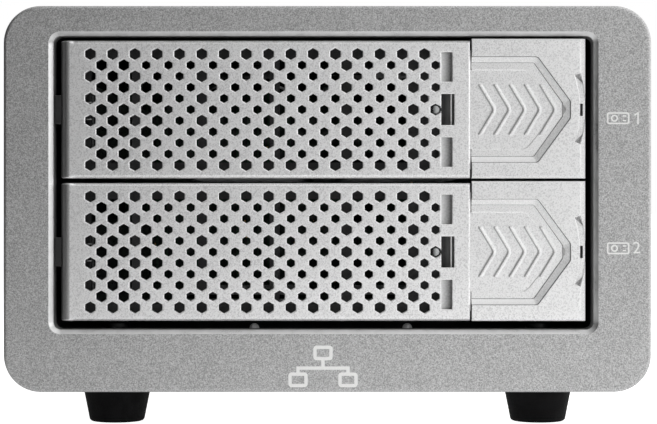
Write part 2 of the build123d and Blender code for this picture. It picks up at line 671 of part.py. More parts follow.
def reset_button():
    y0 = SWITCH_BOARD_Y + BOARD_T
    button = rod_y(RESET_X, RESET_Z, BUTTON_R, y0 + 1.4 + RESET_TRAVEL + 0.2, Y_PANEL_BACK + 0.6)
    return chamfer(button.edges().group_by(Axis.Y)[-1], 0.2)


def power_lead():
    """The pair of wires from the power switch, and the plug on the main board they end in."""
    y = BODY_FRONT - 10.0
    wires = []
    for n, dz in enumerate(TERMINALS_Z):
        x = ROCKER_X - 1.0 + 2 * n
        z = ROCKER_Z + dz
        start = (ROCKER_X, BODY_FRONT - 6.8, z)
        bend = (x, BODY_FRONT - 11.5 - 1.5 * n, z - 7.0)
        wires.append(cable([start, bend, (x, y, MAIN_BOARD_TOP + 7.0)], 0.7))
    plug = block(ROCKER_X - 3.4, ROCKER_X + 3.4, y - 2.2, y + 2.2, MAIN_BOARD_TOP, MAIN_BOARD_TOP + 6.2)
    return Compound([*wires, plug])


# ---------------------------------------------------------------- trays, about z = 0
SKIN = 0.55
LUG_GAP = 0.15
LUG_R = HINGE_R - SKIN - LUG_GAP
LUG_SPANS = ((7.0, 10.0), (-10.0, -7.0))
PIN_R = 0.75
LATCH_POSTS = ((37.5, 8.5), (50.0, 8.5))
SPRING_Z = -8.5
SPRING_Y = BEAM_BACK + 2.5
SPRING_POST_X = 42.0
SPRING_POST_W = 1.5
SPRING_LUG_X = 51.9
LIGHT_RUN_X = 53.2
LIGHT_RUN_Y = BEAM_BACK + 2.5
TONGUE_LEFT = 24.3
TONGUE_T = 1.4
CATCH_X = 26.75
CATCH_SHORT = 0.25
PRONG_LOW = 4.1
PRONG_HIGH = 5.3
HOLLOW_RIM_H = 11.5
HOLLOW_H = 10.1
TRAY_SCREW_Y = BEAM_BACK + 4.0
TRAY_SCREW_Z = -7.0


def is_big_hole(col, row):
    """Border rows, the left block with its arrow-shaped end, and five single columns are wide."""
    edge_row = row in (0, HOLE_ROWS - 1)
    from_middle = abs(row - (HOLE_ROWS - 1) / 2)
    left_block = col <= 4 or (col <= 6 and from_middle <= 7 - col)
    light = col == HOLE_COLUMNS - 1 and from_middle == 0
    return edge_row or left_block or light or col in WIDE_COLUMNS


def hexagon(flat):
    """A hexagon with points up and down, given across its flats."""
    return RegularPolygon(flat / math.sqrt(3), 6, rotation=30)


def lever_holes():
    holes = []
    for row in range(HOLE_ROWS):
        z = ((HOLE_ROWS - 1) / 2 - row) * HOLE_STEP_Z
        for col in range(row % 2, HOLE_COLUMNS, 2):
            flat = BIG_HOLE_FLAT if is_big_hole(col, row) else SMALL_HOLE_FLAT
            holes.append(Pos(HOLE_LEFT + col * HOLE_STEP_X, z) * hexagon(flat))
    return holes


def lever_windows():
    """Three slots near the latch, and the nick that joins the middle one to the light's hole."""
    side = Rectangle(2.35, 6.4)
    return [
        Pos(25.78, 9.2) * side,
        Pos(25.78, -9.2) * side,
        Pos(26.0, 0) * Rectangle(2.8, 6.75),
        Pos(24.5, 0) * Rectangle(1.0, 0.7),
    ]


def tray_lever():
    """The perforated pull lever: barrel at the left, catch prongs at the right."""
    h = FACE_HALF_H
    plate = block(HINGE_X, LEVER_RIGHT, Y_FACE, Y_FACE + LEVER_T, -h, h)
    top = block(HINGE_X, LEVER_RIGHT, Y_FACE, Y_FACE + LEVER_FLANGE, h - 1.0, h)
    low = block(HINGE_X, LEVER_RIGHT, Y_FACE, Y_FACE + LEVER_FLANGE, -h, -h + 1.0)
    lever = plate + top + low
    thin = HOLLOW_H - 1.1
    lever -= block(LEVER_THIN_X, LEVER_RIGHT + 1, Y_FACE + LEVER_THIN_T, Y_FACE + 3, -thin, thin)
    front = lever.faces().sort_by(Axis.Y)[0].edges()
    lever = chamfer(front.filter_by(Axis.X), 0.55)
    right = lever.faces().sort_by(Axis.Y)[0].edges().filter_by(Axis.Z).sort_by(Axis.X)[-1]
    lever = chamfer(right, 0.2)
    barrel = rod_z(HINGE_X, HINGE_Y, HINGE_R, -h, h)
    lever += chamfer(barrel.edges().filter_by(GeomType.CIRCLE), 0.3)
    lever -= prism_y(Sketch() + lever_holes() + lever_windows(), Y_FACE - 1, Y_FACE + 3)
    # The cam tooth in the gap beside the barrel
    lever += block(HINGE_X - 3.35, HINGE_X - 1.6, HINGE_Y - 0.7, HINGE_Y + 0.6, -3.1, 3.1)
    # Pockets for the tray's hinge lugs and for the spring, open at the back for the swing
    inner_r = HINGE_R - SKIN
    pockets = [(z0, z1, 0.12) for z0, z1 in LUG_SPANS] + [(-3.3, 3.3, 0.6)]
    for z0, z1, mouth in pockets:
        z0, z1 = z0 - LUG_GAP, z1 + LUG_GAP
        lever -= rod_z(HINGE_X, HINGE_Y, inner_r, z0, z1)
        lever -= block(HINGE_X - inner_r, HINGE_X + 6.0, HINGE_Y, HINGE_Y + 4.0, z0, z1)
        lever -= block(HINGE_X - HINGE_R - 0.1, HINGE_X, HINGE_Y + mouth, HINGE_Y + 4.0, z0, z1)
    lever -= rod_z(HINGE_X, HINGE_Y, PIN_R + 0.05, -h + 1.0, h - 1.0)
    # Two prongs reach through the latch tongue, hidden between the windows
    for z0 in (-PRONG_HIGH, PRONG_LOW):
        z1 = z0 + PRONG_HIGH - PRONG_LOW
        lever += block(24.5, 25.8, Y_FACE + 1.2, Y_FACE + 4.8, z0, z1)
        lever += block(25.2, CATCH_X - CATCH_SHORT, Y_FACE + 3.8, Y_FACE + 4.8, z0, z1)
    return lever


def hinge_pin():
    h = FACE_HALF_H
    return rod_z(HINGE_X, HINGE_Y, PIN_R, -h + 1.1, h - 1.1)


def lever_spring():
    """A torsion spring round the hinge pin, one leg on the lever and one on the beam."""
    coil = Pos(HINGE_X, HINGE_Y, -2.0) * wire_coil(1.12, 0.18, 0.5, 4.0)
    lever_leg = rod_x(HINGE_Y + 1.12, -2.0, 0.18, HINGE_X, HINGE_X + 4.5)
    beam_leg = rod_x(HINGE_Y + 1.12, 1.65, 0.18, HINGE_X, HINGE_X + 4.5)
    return coil + lever_leg + beam_leg


def front_beam():
    """The open grille behind the lever, with hinge lugs and the latch's guide slots."""
    h = 13.6
    beam = block(TRAY_LEFT + 0.6, TRAY_RIGHT - 0.2, BEAM_FRONT, BEAM_BACK, -h, h)
    posts = [HOLE_LEFT + c * HOLE_STEP_X for c in (4, 10, 16.5, 23, 29)]
    left = TRAY_LEFT + 6.0
    for post in posts:
        beam -= block(left, post - 1.1, BEAM_FRONT - 1, BEAM_BACK + 1, -h + 2.2, h - 2.2)
        left = post + 1.1
    # Room for the cam tooth as the lever swings
    beam -= block(TRAY_LEFT, HINGE_X + 3.7, BEAM_FRONT - 1, BEAM_FRONT + 0.8, -3.6, 3.6)
    for z0, z1 in LUG_SPANS:
        lug = rod_z(HINGE_X, HINGE_Y, LUG_R, z0, z1)
        lug += block(HINGE_X - 0.1, HINGE_X + LUG_R, HINGE_Y, BEAM_FRONT + 0.5, z0, z1)
        beam += lug - rod_z(HINGE_X, HINGE_Y, PIN_R + 0.02, z0 - 1, z1 + 1)
    for x, z in LATCH_POSTS:
        beam -= latch_slot(x, z, 1.75)
    through = (BEAM_FRONT - 1, BEAM_BACK + 1)
    slot_end = SPRING_POST_X + SPRING_POST_W + LATCH_TRAVEL + 0.3
    beam -= block(SPRING_POST_X - 0.3, slot_end, *through, SPRING_Z - 1.8, SPRING_Z + 1.8)
    lug = block(SPRING_LUG_X, SPRING_LUG_X + 1.5, BEAM_BACK, BEAM_BACK + 4.4, -2.5, 2.5)
    beam += Pos(0, 0, SPRING_Z) * lug
    beam -= block(LIGHT_X - 1.2, LIGHT_X + 1.2, *through, -1.2, 1.2)
    # Side lugs that the tray's walls are screwed to
    beam += block(TRAY_LEFT + 1.3, TRAY_LEFT + 4.2, BEAM_BACK, BEAM_BACK + 7.0, -9.0, 3.0)
    beam += block(TRAY_RIGHT - 4.2, TRAY_RIGHT - 1.3, BEAM_BACK, BEAM_BACK + 7.0, -9.0, -3.0)
    for x0, x1 in ((TRAY_LEFT, TRAY_LEFT + 4.0), (TRAY_RIGHT - 4.0, TRAY_RIGHT)):
        beam -= rod_x(TRAY_SCREW_Y, TRAY_SCREW_Z, 1.05, x0, x1)
    return beam


def latch_slot(x, z, r):
    """The hole that lets a latch post slide by the latch's travel."""
    reach = LATCH_TRAVEL + 0.2
    outline = Pos(x + reach / 2, z) * SlotCenterToCenter(reach, 2 * r)
    return prism_y(outline, BEAM_FRONT - 1, BEAM_BACK + 1)


TRAY_WALL = 1.2
DRIVE_AIR = 0.4
FLOOR_Z0 = -14.35
FLOOR_Z1 = -13.25
RAIL_TOP = 6.0


def drive_hole_points():
    """The four screw holes that hold a drive, as (x, y)."""
    rear = DRIVE_REAR - DRIVE_HOLE_FROM_REAR
    return [(TRAY_MID + sx * DRIVE_HOLES_X / 2, y) for sx in (-1, 1) for y in (rear, rear - DRIVE_HOLES_Y)]


def tray_rail(outer, inner, side):
    """One side of a tray: a folded channel with a runner outside; side is -1 or 1."""
    wall = side * TRAY_WALL
    outer_wall = [(outer, FLOOR_Z0), (outer, RAIL_TOP), (outer - wall, RAIL_TOP), (outer - wall, FLOOR_Z1)]
    inner_wall = [(inner + wall, FLOOR_Z1), (inner + wall, RAIL_TOP), (inner, RAIL_TOP), (inner, FLOOR_Z0)]
    corner = [(inner, FLOOR_Z1), (inner, FLOOR_Z0)]
    rail = prism_y(polygon(outer_wall + corner), BEAM_BACK, DRIVE_FRONT)
    rail += prism_y(polygon(outer_wall + inner_wall), DRIVE_FRONT, TRAY_REAR)
    x0, x1 = sorted((outer, outer + wall))
    rail += block(x0, x1, RUNNER_FRONT, TRAY_REAR, RUNNER_LOW, RUNNER_HIGH)
    x0, x1 = sorted((outer - 2 * wall, outer + wall))
    return rail - rod_x(TRAY_SCREW_Y, TRAY_SCREW_Z, 1.1, x0, x1)


def tray_frame():
    """A floor pan with a welded rail on each side."""
    half = DRIVE_W / 2 + DRIVE_AIR
    in0, in1 = TRAY_MID - half, TRAY_MID + half
    pan = block(in0, in1, BEAM_BACK, TRAY_REAR, FLOOR_Z0, FLOOR_Z1)
    for wx0, wx1 in ((-38.0, -4.0), (2.0, 36.0)):
        for wy0, wy1 in ((-82.0, -40.0), (-34.0, 8.0), (14.0, 44.0)):
            outline = RectangleRounded(wx1 - wx0, wy1 - wy0, 4.0)
            window = Pos((wx0 + wx1) / 2, (wy0 + wy1) / 2, FLOOR_Z0) * outline
            pan -= extrude(window, 3.0, both=True)
    for x, y in drive_hole_points():
        pan -= rod_z(x, y, DRIVE_HOLE_R, FLOOR_Z0 - 1, FLOOR_Z1 + 1)
    left = tray_rail(TRAY_LEFT, in0, -1)
    right = tray_rail(TRAY_RIGHT, in1, 1)
    # Saddles that carry the light pipe between the right walls
    for y in (-70.0, -20.0, 30.0):
        right += block(in1 + TRAY_WALL, TRAY_RIGHT - TRAY_WALL, y, y + 3.0, FLOOR_Z1, -LIGHT_R - 0.02)
    return Compound([pan, left, right])


def tray_screws():
    """Flush screws through the side walls into the front beam."""
    left = rod_x(TRAY_SCREW_Y, TRAY_SCREW_Z, 1.0, TRAY_LEFT + 0.1, TRAY_LEFT + 3.8)
    right = rod_x(TRAY_SCREW_Y, TRAY_SCREW_Z, 1.0, TRAY_RIGHT - 3.8, TRAY_RIGHT - 0.1)
    return Compound([left, right])


def light_pipe():
    """A clear rod from the status light at the back to the lens in the lever's face."""
    y_lens, y_rear, r = Y_FACE + 0.5, DRIVE_REAR + 1.2, 3.0
    path = FilletPolyline(
        (LIGHT_X, y_lens, 0),
        (LIGHT_X, LIGHT_RUN_Y, 0),
        (LIGHT_RUN_X, LIGHT_RUN_Y, 0),
        (LIGHT_RUN_X, y_rear, 0),
        radius=r,
    )
    return sweep(Plane(origin=path @ 0, z_dir=path % 0) * Circle(LIGHT_R), path=path)


BAR_COUNT = 5
BAR_PITCH = 3.3
BAR_W = 1.02
BAR_HALF_H = 5.55
BAR_REACH = 3.35
BAR_RISE = 0.42
SLOT_X = (54.65, 55.3)
# The hollow's flank: a short wall at its rim, a gentle slope, and a short wall at its floor
HOLLOW_FLANK = [(1.0, LATCH_HOLLOW), (0.93, 0.98), (0.09, 0.34), (0.0, -0.02)]


def arrow_bar(x):
    """A raised arrow bar, open to the left, drawn in (x, z) from its upper left corner."""
    near, far = x + BAR_REACH, x + BAR_REACH + BAR_W
    h = BAR_HALF_H
    bar = polygon([(x, h), (x + BAR_W, h), (far, 0), (x + BAR_W, -h), (x, -h), (near, 0)])
    bar = fillet([v for v in bar.vertices() if v.X > far - 0.01], 1.9)
    bar = fillet([v for v in bar.vertices() if abs(v.Y) < 0.01], 1.0)
    return fillet([v for v in bar.vertices() if abs(v.Y) > h - 0.01], 0.3)


def arrow_outline(shoulder, tip, half_h, tip_half, left):
    """The outline of the latch's hollow: straight at top and bottom, pointed at the right."""
    upper = [(left, half_h), (shoulder, half_h), (tip, tip_half)]
    lower = [(x, -z) for x, z in reversed(upper)]
    return polygon(upper + lower)


def face_plane(depth):
    """A drawing plane parallel to the tray's face, facing out, at a depth below it."""
    return Plane(origin=(0, Y_FACE + depth, 0), x_dir=(1, 0, 0), z_dir=(0, -1, 0))


def hollow_section(along, depth, left):
    """The hollow's outline at a depth; along runs from 0 at its rim to 1 at its floor."""
    half_h = HOLLOW_RIM_H + (HOLLOW_H - HOLLOW_RIM_H) * along
    outline = arrow_outline(45.5 - 0.8 * along, 52.6 - 1.7 * along, half_h, 1.9 - 0.5 * along, left)
    return face_plane(depth) * fillet_right(outline, 1.1 - 0.3 * along)


def latch_slider():
    """The sliding thumb latch: arrow-shaped hollow with five bars, tongue under the lever."""
    back = Y_FACE + LATCH_T
    body = block(LATCH_LEFT, LATCH_RIGHT, Y_FACE, back, LATCH_LOW, LATCH_HIGH)
    front = body.faces().sort_by(Axis.Y)[0].edges()
    body = chamfer(front.filter_by(Axis.Z).sort_by(Axis.X)[-1], 0.7, 1.15)
    front = body.faces().sort_by(Axis.Y)[0].edges()
    body = chamfer(front.filter_by(Axis.X), 0.3)
    left = LATCH_LEFT - 8.0
    body -= loft([hollow_section(*step, left) for step in HOLLOW_FLANK], ruled=True)
    # The floor's middle is a little lower than its border
    pan = fillet_right(arrow_outline(43.0, 49.0, 8.6, 1.3, left), 2.4)
    body -= prism_y(pan, Y_FACE, Y_FACE + LATCH_HOLLOW + 0.1)
    for n in range(BAR_COUNT):
        bar = arrow_bar(32.45 + BAR_PITCH * n)
        rib = prism_y(bar, Y_FACE + LATCH_HOLLOW + 0.1 - BAR_RISE, Y_FACE + LATCH_HOLLOW + 0.5)
        body += chamfer(rib.faces().sort_by(Axis.Y)[0].edges(), 0.28)
    # Curved nail groove at the right edge with a pit at each end, and the slot beside it
    band = Circle(25.4) - Circle(24.1)
    wedge = polygon([(0, 0), (40, 12.7), (40, -12.7)])
    body -= prism_y(Pos(30.5, 0.2) * (band & wedge), Y_FACE - 1, Y_FACE + 1.0)
    for side in (-1, 1):
        pit = polygon([(53.55, side * 7.1), (54.6, side * 7.55), (55.35, side * 5.5)])
        body -= prism_y(Pos(0, 0.2) * pit, Y_FACE - 1, Y_FACE + 2.2)
    body -= block(*SLOT_X, Y_FACE - 1, back + 1, -1.35, 1.3)
    # The hollow's floor runs on under the lever's thin edge, then steps down to the tongue
    y = Y_FACE + LATCH_HOLLOW + 0.1
    tongue_y = Y_FACE + TONGUE_DEPTH
    body += block(LEVER_THIN_X + 0.6, LATCH_LEFT + 0.5, y, tongue_y + 0.4, -HOLLOW_H + 1.5, HOLLOW_H - 1.5)
    tongue = block(TONGUE_LEFT, LATCH_LEFT + 0.5, tongue_y, tongue_y + TONGUE_T, -13.2, 13.2)
    notch = PRONG_HIGH + 0.3
    tongue -= block(TONGUE_LEFT - 1, CATCH_X, tongue_y - 1, tongue_y + 3, -notch, notch)
    tongue -= block(CATCH_X + 0.35, CATCH_X + 1.4, tongue_y - 1, tongue_y + 0.9, -3.6, 3.6)
    body += tongue
    for x, z in LATCH_POSTS:
        body += rod_y(x, z, 1.6, back - 0.5, BEAM_BACK + 0.15)
        body -= rod_y(x, z, 0.92, back, BEAM_BACK + 1)
    post = block(SPRING_POST_X, SPRING_POST_X + SPRING_POST_W, back - 0.5, SPRING_Y + 1.6, -1.5, 1.5)
    return body + Pos(0, 0, SPRING_Z) * post


def fillet_right(face, r):
    """Rounds the corners of an outline except the two at its left end."""
    left = min(v.X for v in face.vertices())
    return fillet([v for v in face.vertices() if v.X > left + 1], r)


def latch_screws():
    """Shoulder screws that keep the latch on the beam, running on its back face."""
    y_head = BEAM_BACK + 0.15
    screw = pan_screw(0.9, 3.2, 2.5, 1.2)
    return Compound([Pos(x, y_head, z) * Rot(-90, 0, 0) * screw for x, z in LATCH_POSTS])


def latch_spring():
    """The spring that pushes the latch back to the left, between its post and the beam's lug."""
    x0, x1 = SPRING_POST_X + SPRING_POST_W + 0.3, SPRING_LUG_X - 0.3
    coil = wire_coil(1.2, 0.2, 1.1, x1 - x0)
    return Pos(x0, SPRING_Y, SPRING_Z) * Rot(0, 90, 0) * coil


# ---------------------------------------------------------------- all pieces
CASING = {
    "front_bezel": front_bezel,
    "housing_sleeve": housing_sleeve,
    "rear_panel": rear_panel,
    "drive_cage": drive_cage,
    "guide_rails": guide_rails,
    "rubber_feet": rubber_feet,
    "foot_screws": foot_screws,
    "cage_standoffs": cage_standoffs,
    "cage_screws": cage_screws,
    "bezel_screws": lambda: ear_screws(Y_BEZEL_BACK + CAGE_T, 4.6),
    "backplane_screws": lambda: ear_screws(CAGE_REAR + BOARD_T, 5.0),
    "thumb_screws": thumb_screws,
    "fan_frame": fan_frame,
    "fan_rotor": fan_rotor,
    "fan_screws": fan_screws,
    "fan_cable": fan_cable,
    "backplane_board": backplane_board,
    "sata_receptacles": sata_receptacles,
    "status_leds": status_leds,
    "link_connector": link_connector,
    "main_board": main_board,
    "board_standoffs": board_standoffs,
    "board_screws": board_screws,
    "controller_chip": controller_chip,
    "heatsink": heatsink,
    "board_components": board_components,
    "clock_battery": clock_battery,
    "ethernet_jack": ethernet_jack,
    "usb_port": usb_port,
    "power_jack": power_jack,
    "rocker_housing": rocker_housing,
    "power_rocker": power_rocker,
    "power_lead": power_lead,
    "switch_board": switch_board,
    "switch_lead": switch_lead,
    "selector_body": selector_body,
    "mode_dial": mode_dial,
    "reset_switch": reset_switch,
    "reset_button": reset_button,
}

TRAY = {
    "tray_frame": tray_frame,
    "front_beam": front_beam,
    "tray_screws": tray_screws,
    "tray_lever": tray_lever,
    "hinge_pin": hinge_pin,
    "lever_spring": lever_spring,
    "latch_slider": latch_slider,
    "latch_screws": latch_screws,
    "latch_spring": latch_spring,
    "light_pipe": light_pipe,
}


def main():
    os.makedirs("parts", exist_ok=True)
    for name, make in CASING.items():
        export_step(make(), f"parts/{name}.step")
    for name, make in TRAY.items():
        piece = make()
        for bay, z in TRAY_Z.items():
            export_step(Pos(0, 0, z) * piece, f"parts/{name}_{bay}.step")


if __name__ == "__main__":
    main()
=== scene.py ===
"""Looks for the desktop drive enclosure: finishes, printed marks, board detail and the studio.

The frame is in metres with the front towards -Y. Sizes below are in millimetres and go through MM.
"""

import json
import math

import bmesh
import bpy
from mathutils import Matrix, Vector

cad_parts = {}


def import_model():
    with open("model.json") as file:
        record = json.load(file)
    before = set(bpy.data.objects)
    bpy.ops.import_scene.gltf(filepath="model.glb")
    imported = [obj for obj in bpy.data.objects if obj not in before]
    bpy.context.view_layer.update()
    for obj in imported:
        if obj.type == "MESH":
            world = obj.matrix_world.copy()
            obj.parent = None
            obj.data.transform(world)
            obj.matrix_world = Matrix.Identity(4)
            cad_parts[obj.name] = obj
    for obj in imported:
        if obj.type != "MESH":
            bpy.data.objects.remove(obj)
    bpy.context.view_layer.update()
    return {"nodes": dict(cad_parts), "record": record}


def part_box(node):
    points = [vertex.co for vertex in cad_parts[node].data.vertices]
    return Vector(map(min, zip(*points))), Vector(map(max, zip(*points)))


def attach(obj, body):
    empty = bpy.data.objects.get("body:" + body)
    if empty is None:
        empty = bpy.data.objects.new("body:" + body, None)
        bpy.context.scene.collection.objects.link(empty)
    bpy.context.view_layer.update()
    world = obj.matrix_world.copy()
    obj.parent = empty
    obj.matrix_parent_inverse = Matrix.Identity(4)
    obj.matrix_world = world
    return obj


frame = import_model()

MM = 0.001
BAYS = (1, 2)
INK_MM = 0.04  # thickness of a printed mark


def middle_of(node):
    """The middle of a CAD node's box, in mm."""
    low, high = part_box(node)
    return (low + high) / 2 / MM


HINGE_X = middle_of("hinge_pin_1").x
LENS_X = 23.38  # middle of each light pipe's front end


# ---------------------------------------------------------------- node building
def add_node(tree, kind, inputs=None, **settings):
    """Adds a shader node. An input is a plain value or another node's output."""
    made = tree.nodes.new("ShaderNode" + kind)
    for key, value in settings.items():
        setattr(made, key, value)
    for key, value in (inputs or {}).items():
        if isinstance(value, bpy.types.NodeSocket):
            tree.links.new(value, made.inputs[key])
        else:
            made.inputs[key].default_value = value
    return made


class Finish:
    """One material under construction."""

    def __init__(self, name):
        self.material = bpy.data.materials.new(name)
        self.material.use_nodes = True
        self.tree = self.material.node_tree
        self.tree.nodes.clear()
        self.place = self.add("TexCoord").outputs["Object"]

    def add(self, kind, inputs=None, **settings):
        return add_node(self.tree, kind, inputs, **settings)

    def noise(self, size_mm, detail=2.0, stretch=(1, 1, 1)):
        """Noise whose features are about size_mm across, longer along an axis with stretch < 1."""
        where = self.place
        if stretch != (1, 1, 1):
            where = self.add("Mapping", {"Vector": where, "Scale": stretch}).outputs[0]
        made = self.add("TexNoise", {"Vector": where, "Scale": 1 / (size_mm * MM), "Detail": detail})
        return made.outputs["Fac"]

    def spread(self, value, low, high, from_low=0.3, from_high=0.7):
        """Maps a value's range, which for noise is usually 0.3 to 0.7, to low..high."""
        ends = {"From Min": from_low, "From Max": from_high, "To Min": low, "To Max": high}
        return self.add("MapRange", {"Value": value, **ends}).outputs[0]

    def math(self, operation, a, b=0.0):
        return self.add("Math", {0: a, 1: b}, operation=operation).outputs[0]

    def mix(self, share, a, b, blend_type="MIX"):
        """From colour a at share 0 to colour b at share 1."""
        inputs = {0: share, 6: colour(a), 7: colour(b)}
        return self.add("Mix", inputs, data_type="RGBA", blend_type=blend_type).outputs[2]

    def tint(self, base, amount):
        """base multiplied by a grey amount."""
        return self.mix(1.0, base, amount, "MULTIPLY")

    def edges(self, radius_mm, gain=3.0):
        """(rounded normal, mask that is 1 on an edge) from a small rounding of every edge."""
        rounded = self.add("Bevel", {"Radius": radius_mm * MM}, samples=6).outputs[0]
        flat = self.add("NewGeometry").outputs["Normal"]
        dot = self.add("VectorMath", {0: rounded, 1: flat}, operation="DOT_PRODUCT").outputs["Value"]
        away = self.math("SUBTRACT", 1.0, dot)
        mask = self.add("Math", {0: away, 1: gain}, operation="MULTIPLY", use_clamp=True).outputs[0]
        return rounded, mask

    def bump(self, height, depth_mm, normal=None, strength=1.0):
        inputs = {"Height": height, "Distance": depth_mm * MM, "Strength": strength}
        if normal is not None:
            inputs["Normal"] = normal
        return self.add("Bump", inputs).outputs[0]

    def surface(self, **inputs):
        named = {key.replace("_", " "): value for key, value in inputs.items()}
        shader = self.add("BsdfPrincipled", named)
        output = self.add("OutputMaterial")
        self.tree.links.new(shader.outputs[0], output.inputs[0])
        return self.material


def colour(value):
    """A grey number or three channels as RGBA; a node's output is passed on."""
    if isinstance(value, bpy.types.NodeSocket):
        return value
    if isinstance(value, (int, float)):
        return (value, value, value, 1.0)
    return (*value, 1.0)


# ---------------------------------------------------------------- finishes
def blasted_aluminium(name, shade, grain_mm, contrast, rough, edge_mm=0.15, metal=1.0):
    """Bead-blasted, clear anodised: fine speckle, soft clouding, slightly brighter edges."""
    m = Finish(name)
    speckle = m.noise(grain_mm, 1.0)
    cloud = m.noise(9.0, 2.0)
    level = m.spread(speckle, 1 - contrast, 1 + contrast)
    level = m.math("MULTIPLY", level, m.spread(cloud, 0.98, 1.02))
    normal, edge = m.edges(edge_mm)
    base = m.tint(shade, level)
    base = m.mix(m.math("MULTIPLY", edge, 0.3), base, min(shade * 1.2, 0.97))
    return m.surface(
        Base_Color=base,
        Metallic=metal,
        Roughness=m.spread(speckle, rough - 0.05, rough + 0.07),
        Normal=m.bump(speckle, 0.012, normal, 0.5),
    )


def turned_slope(name, left, right, left_x, right_x):
    """Turned, blasted metal with painted shade: its grey runs from left to right between two x positions in
    mm.
    """
    m = Finish(name)
    x = m.add("SeparateXYZ", {0: m.place}).outputs["X"]
    speckle = m.noise(0.28, 1.0)
    painted_shade_slope = m.spread(x, left, right, left_x * MM, right_x * MM)
    return m.surface(
        Base_Color=m.math("MULTIPLY", m.spread(speckle, 0.9, 1.1), painted_shade_slope),
        Metallic=1.0,
        Roughness=m.spread(speckle, 0.35, 0.42),
        Normal=m.bump(speckle, 0.01, None, 0.4),
    )


def cast_slope(name, middle):
    """Blotched cast metal of the latch tongue, seen through the lever's windows.

    Painted shade: it turns from light to dark across the outer windows. In the middle one, around the
    height middle in mm, a painted highlight on the tongue's edge stands before a groove in painted shade.
    """
    m = Finish(name)
    spot = m.add("SeparateXYZ", {0: m.place}).outputs
    x = spot["X"]
    blotch = m.noise(0.45, 3.0)
    wander = m.add("Math", {0: blotch, 1: 0.9 * MM, 2: x}, operation="MULTIPLY_ADD").outputs[0]
    # Painted shade across the outer windows, then a painted highlight and painted shade in the middle one
    painted_shade_slope = m.spread(wander, 0.95, 0.16, 25.0 * MM, 27.35 * MM)
    lip_highlight_and_groove_shade = m.spread(x, 0.95, 0.03, 27.0 * MM, 27.08 * MM)
    height = m.math("ABSOLUTE", m.math("SUBTRACT", spot["Z"], middle * MM))
    inside = m.math("LESS_THAN", height, 4.0 * MM)
    return m.surface(
        Base_Color=m.mix(inside, m.tint(1.0, painted_shade_slope), m.tint(1.0, lip_highlight_and_groove_shade)),
        Metallic=0.6,
        Roughness=m.spread(blotch, 0.4, 0.5),
        Normal=m.bump(blotch, 0.02, None, 0.5),
    )


def plated_sheet(name, shade, rough=0.32):
    """Zinc-plated rolled steel: faint crystal patches and a rolling grain along Y."""
    m = Finish(name)
    patches = m.add("TexVoronoi", {"Vector": m.place, "Scale": 1 / (5.0 * MM)})
    patch = m.spread(patches.outputs["Color"], 0.93, 1.05, 0.0, 1.0)
    grain = m.noise(0.22, 3.0, (1, 0.03, 1))
    level = m.math("MULTIPLY", patch, m.spread(grain, 0.94, 1.05))
    normal, edge = m.edges(0.12)
    base = m.mix(m.math("MULTIPLY", edge, 0.3), m.tint((shade, shade * 1.005, shade * 1.02), level), 0.9)
    return m.surface(
        Base_Color=base,
        Metallic=1.0,
        Roughness=m.spread(grain, rough - 0.06, rough + 0.1),
        Normal=m.bump(grain, 0.006, normal, 0.5),
    )


def turned_steel(name, shade, rough=0.28):
    """Plated fasteners, pins and springs: fine machining scratches and duller patches."""
    m = Finish(name)
    scratch = m.noise(0.12, 4.0, (1, 1, 0.2))
    dull = m.noise(2.5, 2.0)
    normal, edge = m.edges(0.08)
    base = m.tint(shade, m.spread(dull, 0.88, 1.08))
    base = m.mix(m.math("MULTIPLY", edge, 0.4), base, 0.92)
    return m.surface(
        Base_Color=base,
        Metallic=1.0,
        Roughness=m.math("ADD", m.spread(scratch, -0.05, 0.08), m.spread(dull, rough - 0.04, rough + 0.08)),
        Normal=m.bump(scratch, 0.003, normal, 0.5),
    )


def powder_coat(name, tone, rough=0.55, painted_light=None):
    """Matt powder coat over steel: orange-peel bump and edges rubbed a little lighter.

    Given a (start, end) span in mm as the last argument, painted light makes it lighter between those two x
    positions.
    """
    m = Finish(name)
    peel = m.noise(0.55, 2.0)
    fleck = m.noise(0.18, 3.0)
    normal, edge = m.edges(0.15)
    base = m.tint(tone, m.spread(fleck, 0.8, 1.25))
    base = m.mix(m.math("MULTIPLY", edge, 0.3), base, tuple(c * 2.2 + 0.02 for c in tone))
    if painted_light:
        # Painted light: lighter between the two x positions
        x = m.add("SeparateXYZ", {0: m.place}).outputs["X"]
        base = m.mix(m.spread(x, 0.0, 1.0, painted_light[0] * MM, painted_light[1] * MM), base, 0.4)
    return m.surface(
        Base_Color=base,
        Metallic=0.0,
        Roughness=m.spread(peel, rough - 0.06, rough + 0.08),
        Specular_IOR_Level=0.45,
        Normal=m.bump(peel, 0.02, normal, 0.6),
    )


def moulded(name, tone, rough, grain_mm=0.25):
    """Moulded plastic: spark-eroded texture, edges slightly polished."""
    m = Finish(name)
    grain = m.noise(grain_mm, 2.0)
    flow = m.noise(14.0, 2.0)
    normal, edge = m.edges(0.12)
    base = m.tint(tone, m.spread(flow, 0.92, 1.08))
    base = m.mix(m.math("MULTIPLY", edge, 0.25), base, tuple(min(c * 1.5 + 0.02, 1) for c in tone))
    polished = m.math("MULTIPLY", edge, -0.12)
    return m.surface(
        Base_Color=base,
        Roughness=m.math("ADD", m.spread(grain, rough - 0.05, rough + 0.07), polished),
        Normal=m.bump(grain, 0.01, normal, 0.6),
    )


def foot_rubber(name):
    """Black rubber: dull, with dust in the pores and a faint bloom on the edges."""
    m = Finish(name)
    pores = m.noise(0.3, 4.0)
    dust = m.noise(3.0, 3.0)
    normal, edge = m.edges(0.3)
    base = m.tint((0.003, 0.003, 0.0033), m.spread(dust, 0.7, 1.5))
    base = m.mix(m.math("MULTIPLY", edge, 0.3), base, (0.015, 0.015, 0.016))
    return m.surface(
        Base_Color=base,
        Roughness=m.spread(pores, 0.6, 0.82),
        Specular_IOR_Level=0.1,
        Normal=m.bump(pores, 0.03, normal, 0.6),
    )


